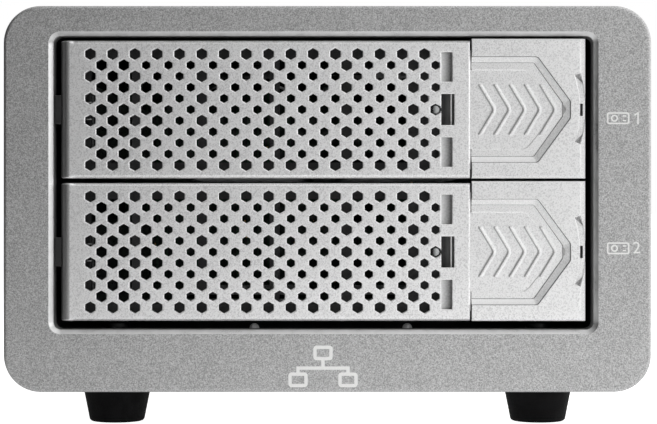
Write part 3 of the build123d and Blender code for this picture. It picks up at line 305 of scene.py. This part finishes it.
def board_mask(name):
    """Circuit board: solder mask over copper tracks, with pale cut edges and plated holes."""
    m = Finish(name)
    turned = m.add("Mapping", {"Vector": m.place, "Rotation": (0, 0, math.radians(45))}).outputs[0]
    tracks = m.add("TexBrick", {
        "Vector": turned, "Scale": 1.0, "Mortar Size": 0.00022, "Mortar Smooth": 0.2,
        "Brick Width": 0.011, "Row Height": 0.0021,
    })
    share = m.math("MULTIPLY", tracks.outputs["Fac"], 0.8)
    base = m.mix(share, (0.012, 0.06, 0.028), (0.03, 0.15, 0.06))
    holes = m.add("TexVoronoi", {"Vector": m.place, "Scale": 1 / (4.2 * MM)}).outputs["Distance"]
    plated = m.math("LESS_THAN", holes, 0.08)
    base = m.mix(plated, base, (0.75, 0.55, 0.22))
    normal, edge = m.edges(0.1)
    base = m.mix(m.math("MULTIPLY", edge, 0.6), base, (0.35, 0.33, 0.2))
    return m.surface(
        Base_Color=base,
        Metallic=m.math("MULTIPLY", plated, 0.9),
        Roughness=m.spread(m.noise(0.4), 0.28, 0.4),
        Coat_Weight=0.4,
        Normal=m.bump(tracks.outputs["Fac"], 0.02, normal, 0.6),
    )


def wire_sleeving(name):
    """Each wire takes black, red or yellow, with a slightly waxy skin."""
    m = Finish(name)
    pick = m.add("NewGeometry").outputs["Random Per Island"]
    ramp = m.add("ValToRGB", {"Fac": pick})
    ramp.color_ramp.interpolation = "CONSTANT"
    ramp.color_ramp.elements[0].color = (0.02, 0.02, 0.02, 1)
    ramp.color_ramp.elements[1].position = 0.45
    ramp.color_ramp.elements[1].color = (0.45, 0.02, 0.015, 1)
    gold = ramp.color_ramp.elements.new(0.8)
    gold.color = (0.7, 0.45, 0.04, 1)
    grain = m.noise(0.5, 2.0)
    base = m.tint(ramp.outputs[0], m.spread(grain, 0.85, 1.1))
    return m.surface(
        Base_Color=base,
        Roughness=m.spread(grain, 0.32, 0.45),
        Normal=m.bump(grain, 0.02, None, 0.4),
    )


def clear_acrylic(name):
    """Light-pipe acrylic: slightly milky, and darker at the left with painted shade."""
    m = Finish(name)
    haze = m.noise(0.6, 2.0)
    normal, _ = m.edges(0.15)
    x = m.add("SeparateXYZ", {0: m.place}).outputs["X"]
    # Painted shade that darkens the pipe's end towards the left
    painted_shadow = m.spread(x, 0.01, 1.0, (LENS_X - 0.55) * MM, (LENS_X + 0.3) * MM)
    milky = m.mix(m.spread(haze, 0.0, 0.25), (0.86, 0.88, 0.88), (0.7, 0.72, 0.72))
    return m.surface(
        Base_Color=m.tint(milky, painted_shadow),
        Roughness=m.spread(haze, 0.18, 0.3),
        IOR=1.49,
        Transmission_Weight=0.3,
        Subsurface_Weight=0.25,
        Subsurface_Radius=(0.001, 0.001, 0.001),
        Normal=m.bump(haze, 0.01, normal, 0.4),
    )


def lamp_lens(name):
    """A small diffusing lamp window, unlit."""
    m = Finish(name)
    haze = m.noise(0.5, 2.0)
    return m.surface(
        Base_Color=m.mix(haze, (0.75, 0.8, 0.7), (0.85, 0.87, 0.8)),
        Roughness=m.spread(haze, 0.25, 0.4),
        Subsurface_Weight=0.2,
        Subsurface_Radius=(0.001, 0.001, 0.001),
    )


def gold_plate(name):
    m = Finish(name)
    wear = m.noise(0.4, 3.0)
    normal, _ = m.edges(0.05)
    return m.surface(
        Base_Color=m.mix(m.spread(wear, 0.0, 0.3), (0.83, 0.61, 0.26), (0.62, 0.5, 0.32)),
        Metallic=1.0,
        Roughness=m.spread(wear, 0.2, 0.36),
        Normal=m.bump(wear, 0.004, normal, 0.4),
    )


def print_ink(name, tone):
    """Screen-printed ink, also used for painted glints: even, with a slightly ragged sheen over the blasted
    metal.
    """
    m = Finish(name)
    body = m.noise(0.25, 3.0)
    return m.surface(
        Base_Color=m.tint(tone, m.spread(body, 0.95, 1.03)),
        Roughness=m.spread(body, 0.4, 0.6),
        Normal=m.bump(body, 0.01, None, 0.5),
    )


SLOT_FINISH = {
    "silver_anodised": lambda: blasted_aluminium("silver_bezel", 0.5, 0.24, 0.38, 0.46),
    "tray_steel": lambda: plated_sheet("tray_zinc", 0.62),
    "black_painted_steel": lambda: powder_coat("black_powder", (0.022, 0.022, 0.023)),
    "screw_steel": lambda: turned_steel("screw_zinc", 0.6),
    "thumb_screw_nickel": lambda: turned_steel("thumb_nickel", 0.68, 0.24),
    "spring_steel": lambda: turned_steel("spring_wire", 0.5, 0.22),
    "foot_rubber": lambda: foot_rubber("foot_rubber"),
    "rail_plastic": lambda: moulded("rail_plastic", (0.03, 0.03, 0.031), 0.4),
    "fan_plastic": lambda: moulded("fan_plastic", (0.018, 0.018, 0.019), 0.42),
    "wire_sleeving": lambda: wire_sleeving("wire_sleeving"),
    "board_laminate": lambda: board_mask("board_mask"),
    "connector_plastic": lambda: moulded("connector_plastic", (0.016, 0.016, 0.017), 0.38),
    "port_shell": lambda: plated_sheet("port_tin", 0.7, 0.22),
    "lamp_lens": lambda: lamp_lens("lamp_lens"),
    "clear_acrylic": lambda: clear_acrylic("clear_acrylic"),
    "chip_plastic": lambda: moulded("chip_plastic", (0.02, 0.02, 0.021), 0.5, 0.15),
    "heatsink_aluminium": lambda: blasted_aluminium("heatsink_black", 0.04, 0.25, 0.2, 0.4),
    "cell_steel": lambda: turned_steel("cell_steel", 0.7, 0.2),
    "control_plastic": lambda: moulded("control_plastic", (0.02, 0.02, 0.021), 0.36),
}

LEVER_FACE = blasted_aluminium("silver_lever_face", 0.95, 0.28, 0.19, 0.33, 0.4)
# Painted shade on the lever's barrel: dark at its left, lighter towards the plate
BARREL_PAINTED_SHADE = turned_slope("lever_barrel_painted_shade", 0.1, 0.62, HINGE_X - 2.2, HINGE_X - 0.2)
TRAY_FACE = blasted_aluminium("silver_tray_face", 0.95, 0.28, 0.19, 0.33, 0.24)
SLEEVE_SKIN = blasted_aluminium("silver_sleeve", 0.56, 0.26, 0.35, 0.50)
# A duller, more diffuse copy of the latch metal: painted light and shade so the hollow's flanks, the pits
# and the right chamfer read evenly lit
FLANK_PAINTED_LIGHT = blasted_aluminium("latch_flank_painted_light", 0.86, 0.28, 0.12, 0.45, 0.04, 0.25)
# Painted highlight for the hollow's lower flank and the arrow bars' sides that face right
PAINTED_HIGHLIGHT = blasted_aluminium("painted_highlight", 0.97, 0.28, 0.05, 0.4, 0.04, 0.1)
# Painted shade: dark lines on the hollow's steep walls
STEEP_WALL_PAINTED_SHADE = blasted_aluminium("latch_wall_painted_shade", 0.12, 0.28, 0.12, 0.5, 0.04, 0.25)
# Painted shade for the arrow bars' sides that face left
BAR_PAINTED_SHADE = blasted_aluminium("bar_painted_shade", 0.5, 0.28, 0.12, 0.5, 0.04, 0.25)
CUT_EDGE = turned_steel("diamond_cut_edge", 0.66, 0.32)
# Blackened steel for the cage screws and cam tooth, and painted shade on the latch's slot walls
DARK_STEEL_AND_SLOT_SHADE = turned_steel("blackened_steel_and_slot_shade", 0.05, 0.45)
# Painted glints: bright white dots on the dimples under the lower tray
DIMPLE_PAINTED_GLINT = print_ink("dimple_painted_glint", (0.9, 0.9, 0.9))
# Painted shade on the bay opening's inner walls
OPENING_WALL_PAINTED_SHADE = powder_coat("opening_wall_painted_shade", (0.3, 0.3, 0.3), 0.5)
# Painted shade: the lever's prongs take a dark grey so they sink into the window's shade
PRONG_PAINTED_SHADE = powder_coat("prong_painted_shade", (0.085, 0.085, 0.087), 0.5)
# Painted light on the front beam behind the lever's middle window: lighter towards the right
BEAM_PAINTED_LIGHT = powder_coat("beam_powder_painted_light", (0.085, 0.085, 0.087), 0.5, (25.6, 26.9))
GOLD = gold_plate("contact_gold")
WHITE_INK = print_ink("white_ink", (0.9, 0.9, 0.89))
WHITE_PLASTIC = moulded("plug_plastic", (0.72, 0.7, 0.64), 0.4)
BLUE_PLASTIC = moulded("usb_tongue", (0.02, 0.09, 0.45), 0.35)
BLACK_PLASTIC = moulded("holder_plastic", (0.018, 0.018, 0.018), 0.42)
TIN = turned_steel("solder_tin", 0.66, 0.3)
CAN_SLEEVE = moulded("capacitor_can", (0.35, 0.36, 0.37), 0.3)


def dress_nodes():
    """Gives each CAD node its slot's finish, and a few nodes one of their own."""
    made = {}
    for entry in frame["record"]["subparts"]:
        slot = entry["material_slot"]
        if slot not in made:
            made[slot] = SLOT_FINISH[slot]()
        node = frame["nodes"][entry["node"]]
        node.data.materials.clear()
        node.data.materials.append(made[slot])
    for bay in BAYS:
        frame["nodes"][f"tray_lever_{bay}"].data.materials[0] = LEVER_FACE
        frame["nodes"][f"latch_slider_{bay}"].data.materials[0] = TRAY_FACE
        # The front beam takes painted light behind the middle window
        frame["nodes"][f"front_beam_{bay}"].data.materials[0] = BEAM_PAINTED_LIGHT
    frame["nodes"]["housing_sleeve"].data.materials[0] = SLEEVE_SKIN
    frame["nodes"]["cage_screws"].data.materials[0] = DARK_STEEL_AND_SLOT_SHADE


# ---------------------------------------------------------------- faces of CAD nodes
def islands(node):
    """The separate solids of a CAD node, as (polygon numbers, low corner, high corner)."""
    mesh = frame["nodes"][node].data
    owner = {}
    links = list(range(len(mesh.polygons)))

    def root(n):
        while links[n] != n:
            links[n] = links[links[n]]
            n = links[n]
        return n

    for polygon in mesh.polygons:
        for index in polygon.vertices:
            key = tuple(round(c, 6) for c in mesh.vertices[index].co)
            first = owner.setdefault(key, polygon.index)
            links[root(polygon.index)] = root(first)
    groups = {}
    for polygon in mesh.polygons:
        groups.setdefault(root(polygon.index), []).append(polygon.index)
    found = []
    for numbers in groups.values():
        corners = [mesh.vertices[v].co for n in numbers for v in mesh.polygons[n].vertices]
        low = Vector(min(c[axis] for c in corners) for axis in range(3))
        high = Vector(max(c[axis] for c in corners) for axis in range(3))
        found.append((numbers, low, high))
    return found


def paint_islands(node, finish, test):
    """Gives the solids of a node that pass test(size in mm) another finish."""
    mesh = frame["nodes"][node].data
    mesh.materials.append(finish)
    slot = len(mesh.materials) - 1
    for numbers, low, high in islands(node):
        size = (high - low) / MM
        if test(size):
            for n in numbers:
                mesh.polygons[n].material_index = slot


def paint_faces(node, finish, test):
    """Gives the faces of a node whose centre, in mm, passes the test another finish."""
    mesh = frame["nodes"][node].data
    mesh.materials.append(finish)
    slot = len(mesh.materials) - 1
    for face in mesh.polygons:
        if test(face.center / MM, face.normal):
            face.material_index = slot


OPENING = (-59.3, 57.6, 21.0, 84.5)  # the bay opening: left, right, low, high
DIMPLE_X = (-16.1, 17.6)  # the two small dimples under the lower tray
HOLLOW_HALF = 10.1  # half the height of a latch's arrow-shaped hollow
HOLLOW_SHOULDER = 44.65  # where the hollow's right side starts to slant
HOLLOW_SLANT = 0.713  # how far that side moves right for each mm towards the middle


def in_opening(place, margin):
    """Whether a point in mm lies inside the bay opening, widened by a margin."""
    left, right, low, high = OPENING
    return left - margin < place.x < right + margin and low - margin < place.z < high + margin


def is_bevel(place, normal):
    """The chamfer round the bay opening."""
    return -0.97 < normal.y < -0.3 and in_opening(place, 1.2)


def is_inner_wall(place, normal):
    """The opening's own walls, behind the chamfer, which take painted shade."""
    return abs(normal.y) < 0.1 and in_opening(place, 0.1)


def is_dimple(place, normal):
    near = min(abs(place.x - x) for x in DIMPLE_X)
    return near < 1.3 and place.y < -90 and 20.6 < place.z < 23 and abs(normal.z) < 0.97


def hollow_edge(across):
    """The x of the hollow's slanted right edge, at a distance above or below its middle."""
    return HOLLOW_SHOULDER + (HOLLOW_HALF - across) * HOLLOW_SLANT


def paint_latch(bay, face_y, middle):
    """Finishes of the latch: painted light and shade on its tongue, hollow, arrow bars, pits, slot and
    right chamfer.

    face_y is the y of its front face, and middle the z of its lever's middle.
    """

    def depth(place):
        return place.y - face_y

    def across(place):
        return abs(place.z - middle)

    def is_tongue(place, normal):
        return place.x < 28.8 and depth(place) > 1.4

    def is_flank(place, normal):
        outside = across(place) > 10.05 or place.x > hollow_edge(across(place))
        return outside and 29 < place.x < 53 and 0.02 < depth(place) < 1.19

    def is_lower_flank(place, normal):
        return is_flank(place, normal) and normal.z > 0.15 and abs(normal.x) < 0.1

    def is_steep_flank(place, normal):
        return is_flank(place, normal) and normal.y > -0.5

    def is_bar_side(place, normal):
        inside = across(place) < 6.0 and 32.0 < place.x < hollow_edge(across(place))
        return inside and 0.85 < depth(place) < 1.29 and -0.95 < normal.y < -0.2

    def is_lit_bar_side(place, normal):
        return is_bar_side(place, normal) and normal.x > 0.25

    def is_shaded_bar_side(place, normal):
        return is_bar_side(place, normal) and normal.x < -0.25

    def is_pit(place, normal):
        return 53.4 < place.x < 55.4 and 5.3 < across(place) < 7.8 and depth(place) > 0.3

    def is_slot(place, normal):
        return 54.6 < place.x < 55.4 and across(place) < 1.45 and abs(normal.y) < 0.5

    def is_right_chamfer(place, normal):
        return place.x > 54.7 and normal.x > 0.3 and -0.95 < normal.y < -0.3

    # A later finish covers an earlier one where both apply
    for finish, test in (
        # Painted shade and a painted highlight on the tongue seen through the windows
        (cast_slope(f"latch_tongue_{bay}", middle), is_tongue),
        # Painted light: the hollow's flanks in a duller copy of the latch metal
        (FLANK_PAINTED_LIGHT, is_flank),
        # Painted highlight on the lower flank, which faces up
        (PAINTED_HIGHLIGHT, is_lower_flank),
        # Painted shade on the steep walls
        (STEEP_WALL_PAINTED_SHADE, is_steep_flank),
        # Painted light in the pits
        (FLANK_PAINTED_LIGHT, is_pit),
        # Painted highlight on the bar sides that face right
        (PAINTED_HIGHLIGHT, is_lit_bar_side),
        # Painted shade on the bar sides that face left
        (BAR_PAINTED_SHADE, is_shaded_bar_side),
        # Painted shade on the slot's walls
        (DARK_STEEL_AND_SLOT_SHADE, is_slot),
        # Painted shade that tones down the right chamfer's highlight
        (FLANK_PAINTED_LIGHT, is_right_chamfer),
    ):
        paint_faces(f"latch_slider_{bay}", finish, test)


def paint_lever(bay, face_y, middle):
    """Finishes of the lever: painted shade on its barrel and prongs, and a dark steel finish on its cam
    tooth.
    """

    def is_barrel(place, normal):
        return place.x < HINGE_X - 0.05 and abs(normal.z) < 0.5

    def is_cam_tooth(place, normal):
        return place.x < HINGE_X - 1.3 and abs(place.z - middle) < 3.2 and place.y > face_y + 1.1

    def is_prong(place, normal):
        return place.x > 22.8 and place.y > face_y + 1.15 and 4.0 < abs(place.z - middle) < 5.4

    # Painted shade on the barrel: dark at its left, lighter towards the plate
    paint_faces(f"tray_lever_{bay}", BARREL_PAINTED_SHADE, is_barrel)
    paint_faces(f"tray_lever_{bay}", DARK_STEEL_AND_SLOT_SHADE, is_cam_tooth)
    # Painted shade on the prongs
    paint_faces(f"tray_lever_{bay}", PRONG_PAINTED_SHADE, is_prong)


def paint_details():
    """Other finishes on parts of a node: the opening's edges, painted shade on its walls, painted glints on
    the dimples, latches, levers, plugs, contacts.
    """
    paint_faces("front_bezel", CUT_EDGE, is_bevel)
    # Painted shade on the opening's walls
    paint_faces("front_bezel", OPENING_WALL_PAINTED_SHADE, is_inner_wall)
    # Painted glints on the dimples
    paint_faces("drive_cage", DIMPLE_PAINTED_GLINT, is_dimple)
    for bay in BAYS:
        face_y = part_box(f"latch_slider_{bay}")[0].y / MM
        middle = middle_of(f"tray_lever_{bay}").z
        paint_latch(bay, face_y, middle)
        paint_lever(bay, face_y, middle)
    paint_islands("ethernet_jack", GOLD, lambda size: size.x < 2)
    paint_islands("usb_port", BLUE_PLASTIC, lambda size: size.z < 3)
    paint_islands("power_jack", TIN, lambda size: size.x < 3)
    paint_islands("clock_battery", BLACK_PLASTIC, lambda size: size.x > 14)
    paint_islands("board_components", CAN_SLEEVE, lambda size: size.z > 5)
    for node in ("fan_cable", "power_lead", "switch_lead"):
        paint_islands(node, WHITE_PLASTIC, lambda size: size.y < 5 and size.x > 4)


# ---------------------------------------------------------------- thin printed marks
def flat_piece(name, outlines, place):
    """A printed mark: closed outlines in mm, raised from a face.

    place is a matrix from the mark's own plane (x right, y up, z out of the face) to the frame.
    """
    shape = bmesh.new()
    for outline in outlines:
        add_prism(shape, outline, INK_MM)
    shape.transform(place @ Matrix.Scale(MM, 4))
    bmesh.ops.remove_doubles(shape, verts=shape.verts, dist=1e-7)
    bmesh.ops.recalc_face_normals(shape, faces=shape.faces)
    mesh = bpy.data.meshes.new(name)
    shape.to_mesh(mesh)
    shape.free()
    return printed(name, mesh)


def printed(name, mesh):
    """Makes a mesh a piece in white ink that rides on the housing."""
    mesh.materials.clear()
    mesh.materials.append(WHITE_INK)
    piece = bpy.data.objects.new(name, mesh)
    bpy.context.scene.collection.objects.link(piece)
    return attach(piece, "housing")


def add_prism(shape, outline, height):
    """Adds a closed outline run up from z = 0 by height."""
    low = [shape.verts.new((x, y, 0)) for x, y in outline]
    high = [shape.verts.new((x, y, height)) for x, y in outline]
    count = len(outline)
    shape.faces.new(high)
    shape.faces.new(low[::-1])
    for n in range(count):
        m = (n + 1) % count
        shape.faces.new((low[n], low[m], high[m], high[n]))


def band(outer, inner):
    """The band between two outlines with the same number of points, as quads."""
    count = len(outer)
    after = [(n + 1) % count for n in range(count)]
    return [[outer[n], outer[after[n]], inner[after[n]], inner[n]] for n in range(count)]


def rounded_rectangle(cx, cy, w, h, r, steps=5):
    """The outline of a rectangle with corners of radius r."""
    points = []
    for quarter, (sx, sy) in enumerate(((1, 1), (-1, 1), (-1, -1), (1, -1))):
        for n in range(steps + 1):
            angle = math.pi / 2 * (quarter + n / steps)
            x = cx + sx * (w / 2 - r) + r * math.cos(angle)
            y = cy + sy * (h / 2 - r) + r * math.sin(angle)
            points.append((x, y))
    return points


def ring(cx, cy, r_out, r_in, steps=28):
    """Quads of a flat ring."""
    angles = [2 * math.pi * n / steps for n in range(steps)]
    outer = [(cx + r_out * math.cos(a), cy + r_out * math.sin(a)) for a in angles]
    inner = [(cx + r_in * math.cos(a), cy + r_in * math.sin(a)) for a in angles]
    return band(outer, inner)


def frame_outline(cx, cy, w, h, r, line):
    """Quads of a rounded rectangle's outline of a given line width."""
    outer = rounded_rectangle(cx, cy, w, h, r)
    inner = rounded_rectangle(cx, cy, w - 2 * line, h - 2 * line, max(r - line, 0.05))
    return band(outer, inner)


def front_plane(x, z):
    """From a mark's plane to the bezel's face: x right, y up, z towards the viewer."""
    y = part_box("front_bezel")[0].y
    return Matrix.Translation((x * MM, y, z * MM)) @ Matrix.Rotation(math.radians(90), 4, "X")


def rear_plane(x, z):
    """The same for the rear panel, read from behind."""
    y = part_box("rear_panel")[1].y
    turned = Matrix.Rotation(math.pi, 4, "Z") @ Matrix.Rotation(math.radians(90), 4, "X")
    return Matrix.Translation((x * MM, y, z * MM)) @ turned


def rear_plane_above(node, gap):
    """The rear plane centred on a node's width, a gap above its top."""
    return rear_plane(middle_of(node).x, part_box(node)[1].z / MM + gap)


def numeral(name, text, height_mm, place):
    """A printed numeral. The one is drawn here, the others come from the built-in font."""
    if text == "1":
        h = height_mm / 2
        stroke = [(0.08, -1), (0.36, -1), (0.36, 1), (0.12, 1), (-0.38, 0.65), (-0.38, 0.38), (0.08, 0.62)]
        return flat_piece(name, [[(x * h, y * h) for x, y in stroke]], place)
    curve = bpy.data.curves.new(name, "FONT")
    curve.body = text
    curve.size = height_mm / 0.72
    curve.align_x = "CENTER"
    curve.align_y = "CENTER"
    curve.extrude = INK_MM / 2
    curve.resolution_u = 6
    source = bpy.data.objects.new(name + "_outline", curve)
    mesh = bpy.data.meshes.new_from_object(source)
    bpy.data.objects.remove(source)
    mesh.transform(place @ Matrix.Scale(MM, 4) @ Matrix.Translation((0, 0, INK_MM / 2)))
    return printed(name, mesh)


def bar(left, low, right, high):
    """A rectangle from its four sides."""
    return [(left, low), (right, low), (right, high), (left, high)]


def bay_marks():
    """A drive pictogram and a numeral to the right of each bay."""
    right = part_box("front_bezel")[1].x / MM
    drops = (1.9, -0.8)  # how far each mark sits below its bay's middle
    for bay, drop in zip(BAYS, drops):
        z = middle_of(f"tray_lever_{bay}").z - drop
        outlines = frame_outline(0, 0, 4.9, 2.6, 0.5, 0.36)
        outlines += ring(-0.8, 0.0, 0.78, 0.44)
        outlines += [rounded_rectangle(1.35, side * 0.5, 0.75, 0.3, 0.1) for side in (-1, 1)]
        flat_piece(f"bay_mark_{bay}", outlines, front_plane(right - 7.2, z))
        numeral(f"bay_numeral_{bay}", str(bay), 2.6, front_plane(right - 3.2, z))


def linked_boxes(scale=1.0):
    """The outlines of three boxes joined by a branching line."""
    line = 0.75
    reach, rise = 5.4, 2.9
    outlines = []
    for cx, cy in ((0, rise), (-reach, -rise), (reach, -rise)):
        outlines += frame_outline(cx, cy, 4.2, 3.2, 0.7, line)
    outlines.append(bar(-line / 2, 0, line / 2, 1.3))
    outlines.append(bar(-reach - line / 2, -line, reach + line / 2, 0))
    for cx in (-reach, reach):
        outlines.append(bar(cx - line / 2, -1.3, cx + line / 2, -line))
    return [[(x * scale, y * scale) for x, y in outline] for outline in outlines]


def network_mark():
    """Three linked boxes in the bezel's lower margin."""
    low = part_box("front_bezel")[0].z / MM
    flat_piece("network_mark", linked_boxes(), front_plane(-0.95, low + 5.6))


def rear_marks():
    """Numerals round the mode dial, and symbols for power, network and direct current."""
    dial = middle_of("mode_dial")
    reach = 6.6
    for n in range(4):
        angle = math.radians(25 - 90 * n)
        x = dial.x + reach * math.cos(angle)
        z = dial.z + reach * math.sin(angle)
        numeral(f"dial_numeral_{n}", str(n), 2.0, rear_plane(x, z))
    power = ring(0, 0, 1.3, 0.95) + [bar(-0.15, 0.1, 0.15, 1.7)]
    flat_piece("power_mark", power, rear_plane_above("rocker_housing", 1.9))
    flat_piece("socket_mark", linked_boxes(0.32), rear_plane_above("ethernet_jack", 3.2))
    current = [bar(-1.6, 0.3, 1.6, 0.6)] + [bar(x, -0.5, x + 0.8, -0.2) for x in (-1.6, -0.4, 0.8)]
    flat_piece("current_mark", current, rear_plane_above("power_jack", 3.5))


# ---------------------------------------------------------------- studio
FLOOR_SHADE = 0.42  # how bright the floor is in reflections
KEY_POWER = 1.1
BACK_POWER = 5
SKY_UP = 1.5  # extra brightness straight overhead


def stage():
    """A pale floor that reads as pure white to the camera. In reflections it is soft grey and glows a
    little, with a painted pool of light that fades to the left and further from the middle.
    """
    shape = bmesh.new()
    bmesh.ops.create_grid(shape, x_segments=1, y_segments=1, size=6.0)
    mesh = bpy.data.meshes.new("floor")
    shape.to_mesh(mesh)
    shape.free()
    floor = bpy.data.objects.new("floor", mesh)
    bpy.context.scene.collection.objects.link(floor)
    m = Finish("pale_floor")
    seen = m.add("LightPath").outputs["Is Camera Ray"]
    x = m.add("SeparateXYZ", {0: m.place}).outputs["X"]
    away = m.add("VectorMath", {0: m.place}, operation="LENGTH").outputs["Value"]
    # Painted pool of light: darker to the left and further out
    painted_light = m.math("MULTIPLY", m.spread(x, 0.05, 1.0, -0.25, 0.0), m.spread(away, 1.0, 0.45, 0.15, 0.6))
    diffuse = m.add("BsdfDiffuse", {"Color": m.math("MULTIPLY", painted_light, 0.9)})
    shade = m.math("MULTIPLY", painted_light, FLOOR_SHADE)
    glow = m.add("Emission", {"Color": (1, 1, 1, 1), "Strength": m.math("MAXIMUM", seen, shade)})
    both = m.add("AddShader", {0: diffuse.outputs[0], 1: glow.outputs[0]})
    m.add("OutputMaterial", {"Surface": both.outputs[0]})
    mesh.materials.append(m.material)


def area_light(name, place, target, size, power):
    """A rectangular light that faces the target."""
    data = bpy.data.lights.new(name, "AREA")
    data.shape = "RECTANGLE"
    data.size, data.size_y = size
    data.energy = power
    light = bpy.data.objects.new(name, data)
    light.location = place
    aim = Vector(target) - Vector(place)
    light.rotation_euler = aim.to_track_quat("-Z", "Y").to_euler()
    bpy.context.scene.collection.objects.link(light)


# The sky's brightness against the x of its direction, from the left end to the right
SKY_ACROSS = [
    (-1.0, 0.02),
    (-0.85, 0.03),
    (-0.6, 0.13),
    (-0.35, 0.27),
    (-0.15, 0.29),
    (0.0, 0.46),
    (0.15, 0.63),
    (0.45, 0.8),
    (0.85, 1.05),
    (1.0, 2.8),
]


def lights():
    """A soft box to the right of the camera, and one behind for the back."""
    area_light("key", (0.62, -1.25, 0.32), (0.03, -0.1, 0.05), (0.5, 0.7), KEY_POWER)
    area_light("back_fill", (-0.7, 1.5, 0.8), (0, 0, 0.05), (1.2, 1.0), BACK_POWER)


def world():
    """White to the camera. For the rest a studio that is bright to the right, dark to the left."""
    scene = bpy.context.scene
    scene.world = bpy.data.worlds.new("studio")
    scene.world.use_nodes = True
    tree = scene.world.node_tree
    tree.nodes.clear()

    def add(kind, inputs=None, **settings):
        return add_node(tree, kind, inputs, **settings)

    def lobe(value):
        """The fourth power of the positive part of a value."""
        positive = add("Math", {0: value, 1: 0.0}, operation="MAXIMUM").outputs[0]
        return add("Math", {0: positive, 1: 4.0}, operation="POWER").outputs[0]

    split = add("SeparateXYZ", {0: add("TexCoord").outputs["Generated"]})
    place = add("Math", {0: split.outputs["X"], 1: 0.5, 2: 0.5}, operation="MULTIPLY_ADD")
    across = add("ValToRGB", {"Fac": place.outputs[0]})
    stops = across.color_ramp.elements
    for x, _ in SKY_ACROSS[1:-1]:
        stops.new(x / 2 + 0.5)
    for stop, (_, strength) in zip(stops, SKY_ACROSS):
        stop.color = (strength, strength, strength, 1)
    above = add("Math", {0: lobe(split.outputs["Z"]), 1: SKY_UP, 2: 1.0}, operation="MULTIPLY_ADD")
    total = add("Math", {0: across.outputs[0], 1: above.outputs[0]}, operation="MULTIPLY")
    white = (1, 1, 1, 1)
    soft = add("Background", {"Color": white, "Strength": total.outputs[0]})
    seen = add("Background", {"Color": white, "Strength": 1.0})
    camera_ray = add("LightPath").outputs["Is Camera Ray"]
    mix = add("MixShader", {0: camera_ray, 1: soft.outputs[0], 2: seen.outputs[0]})
    add("OutputWorld", {"Surface": mix.outputs[0]})
    scene.view_settings.view_transform = "Standard"


def camera():
    """Square to the bezel and level with its middle, framed so that the front fills the width."""
    low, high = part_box("front_bezel")
    distance = 450 * MM
    bezel_share = 0.98661  # of the frame's width
    data = bpy.data.cameras.new("camera")
    width = (high.x - low.x) / bezel_share
    data.lens = data.sensor_width * distance / width
    # The front stands a little left of the frame's middle and above it, in shares of the width
    data.shift_x = 0.00167
    data.shift_y = -0.01979
    data.clip_start = 0.01
    eye = bpy.data.objects.new("camera", data)
    eye.location = ((low.x + high.x) / 2, low.y - distance, (low.z + high.z) / 2)
    eye.rotation_euler = (math.radians(90), 0, 0)
    bpy.context.scene.collection.objects.link(eye)
    bpy.context.scene.camera = eye


dress_nodes()
paint_details()
bay_marks()
network_mark()
rear_marks()
stage()
lights()
world()
camera()
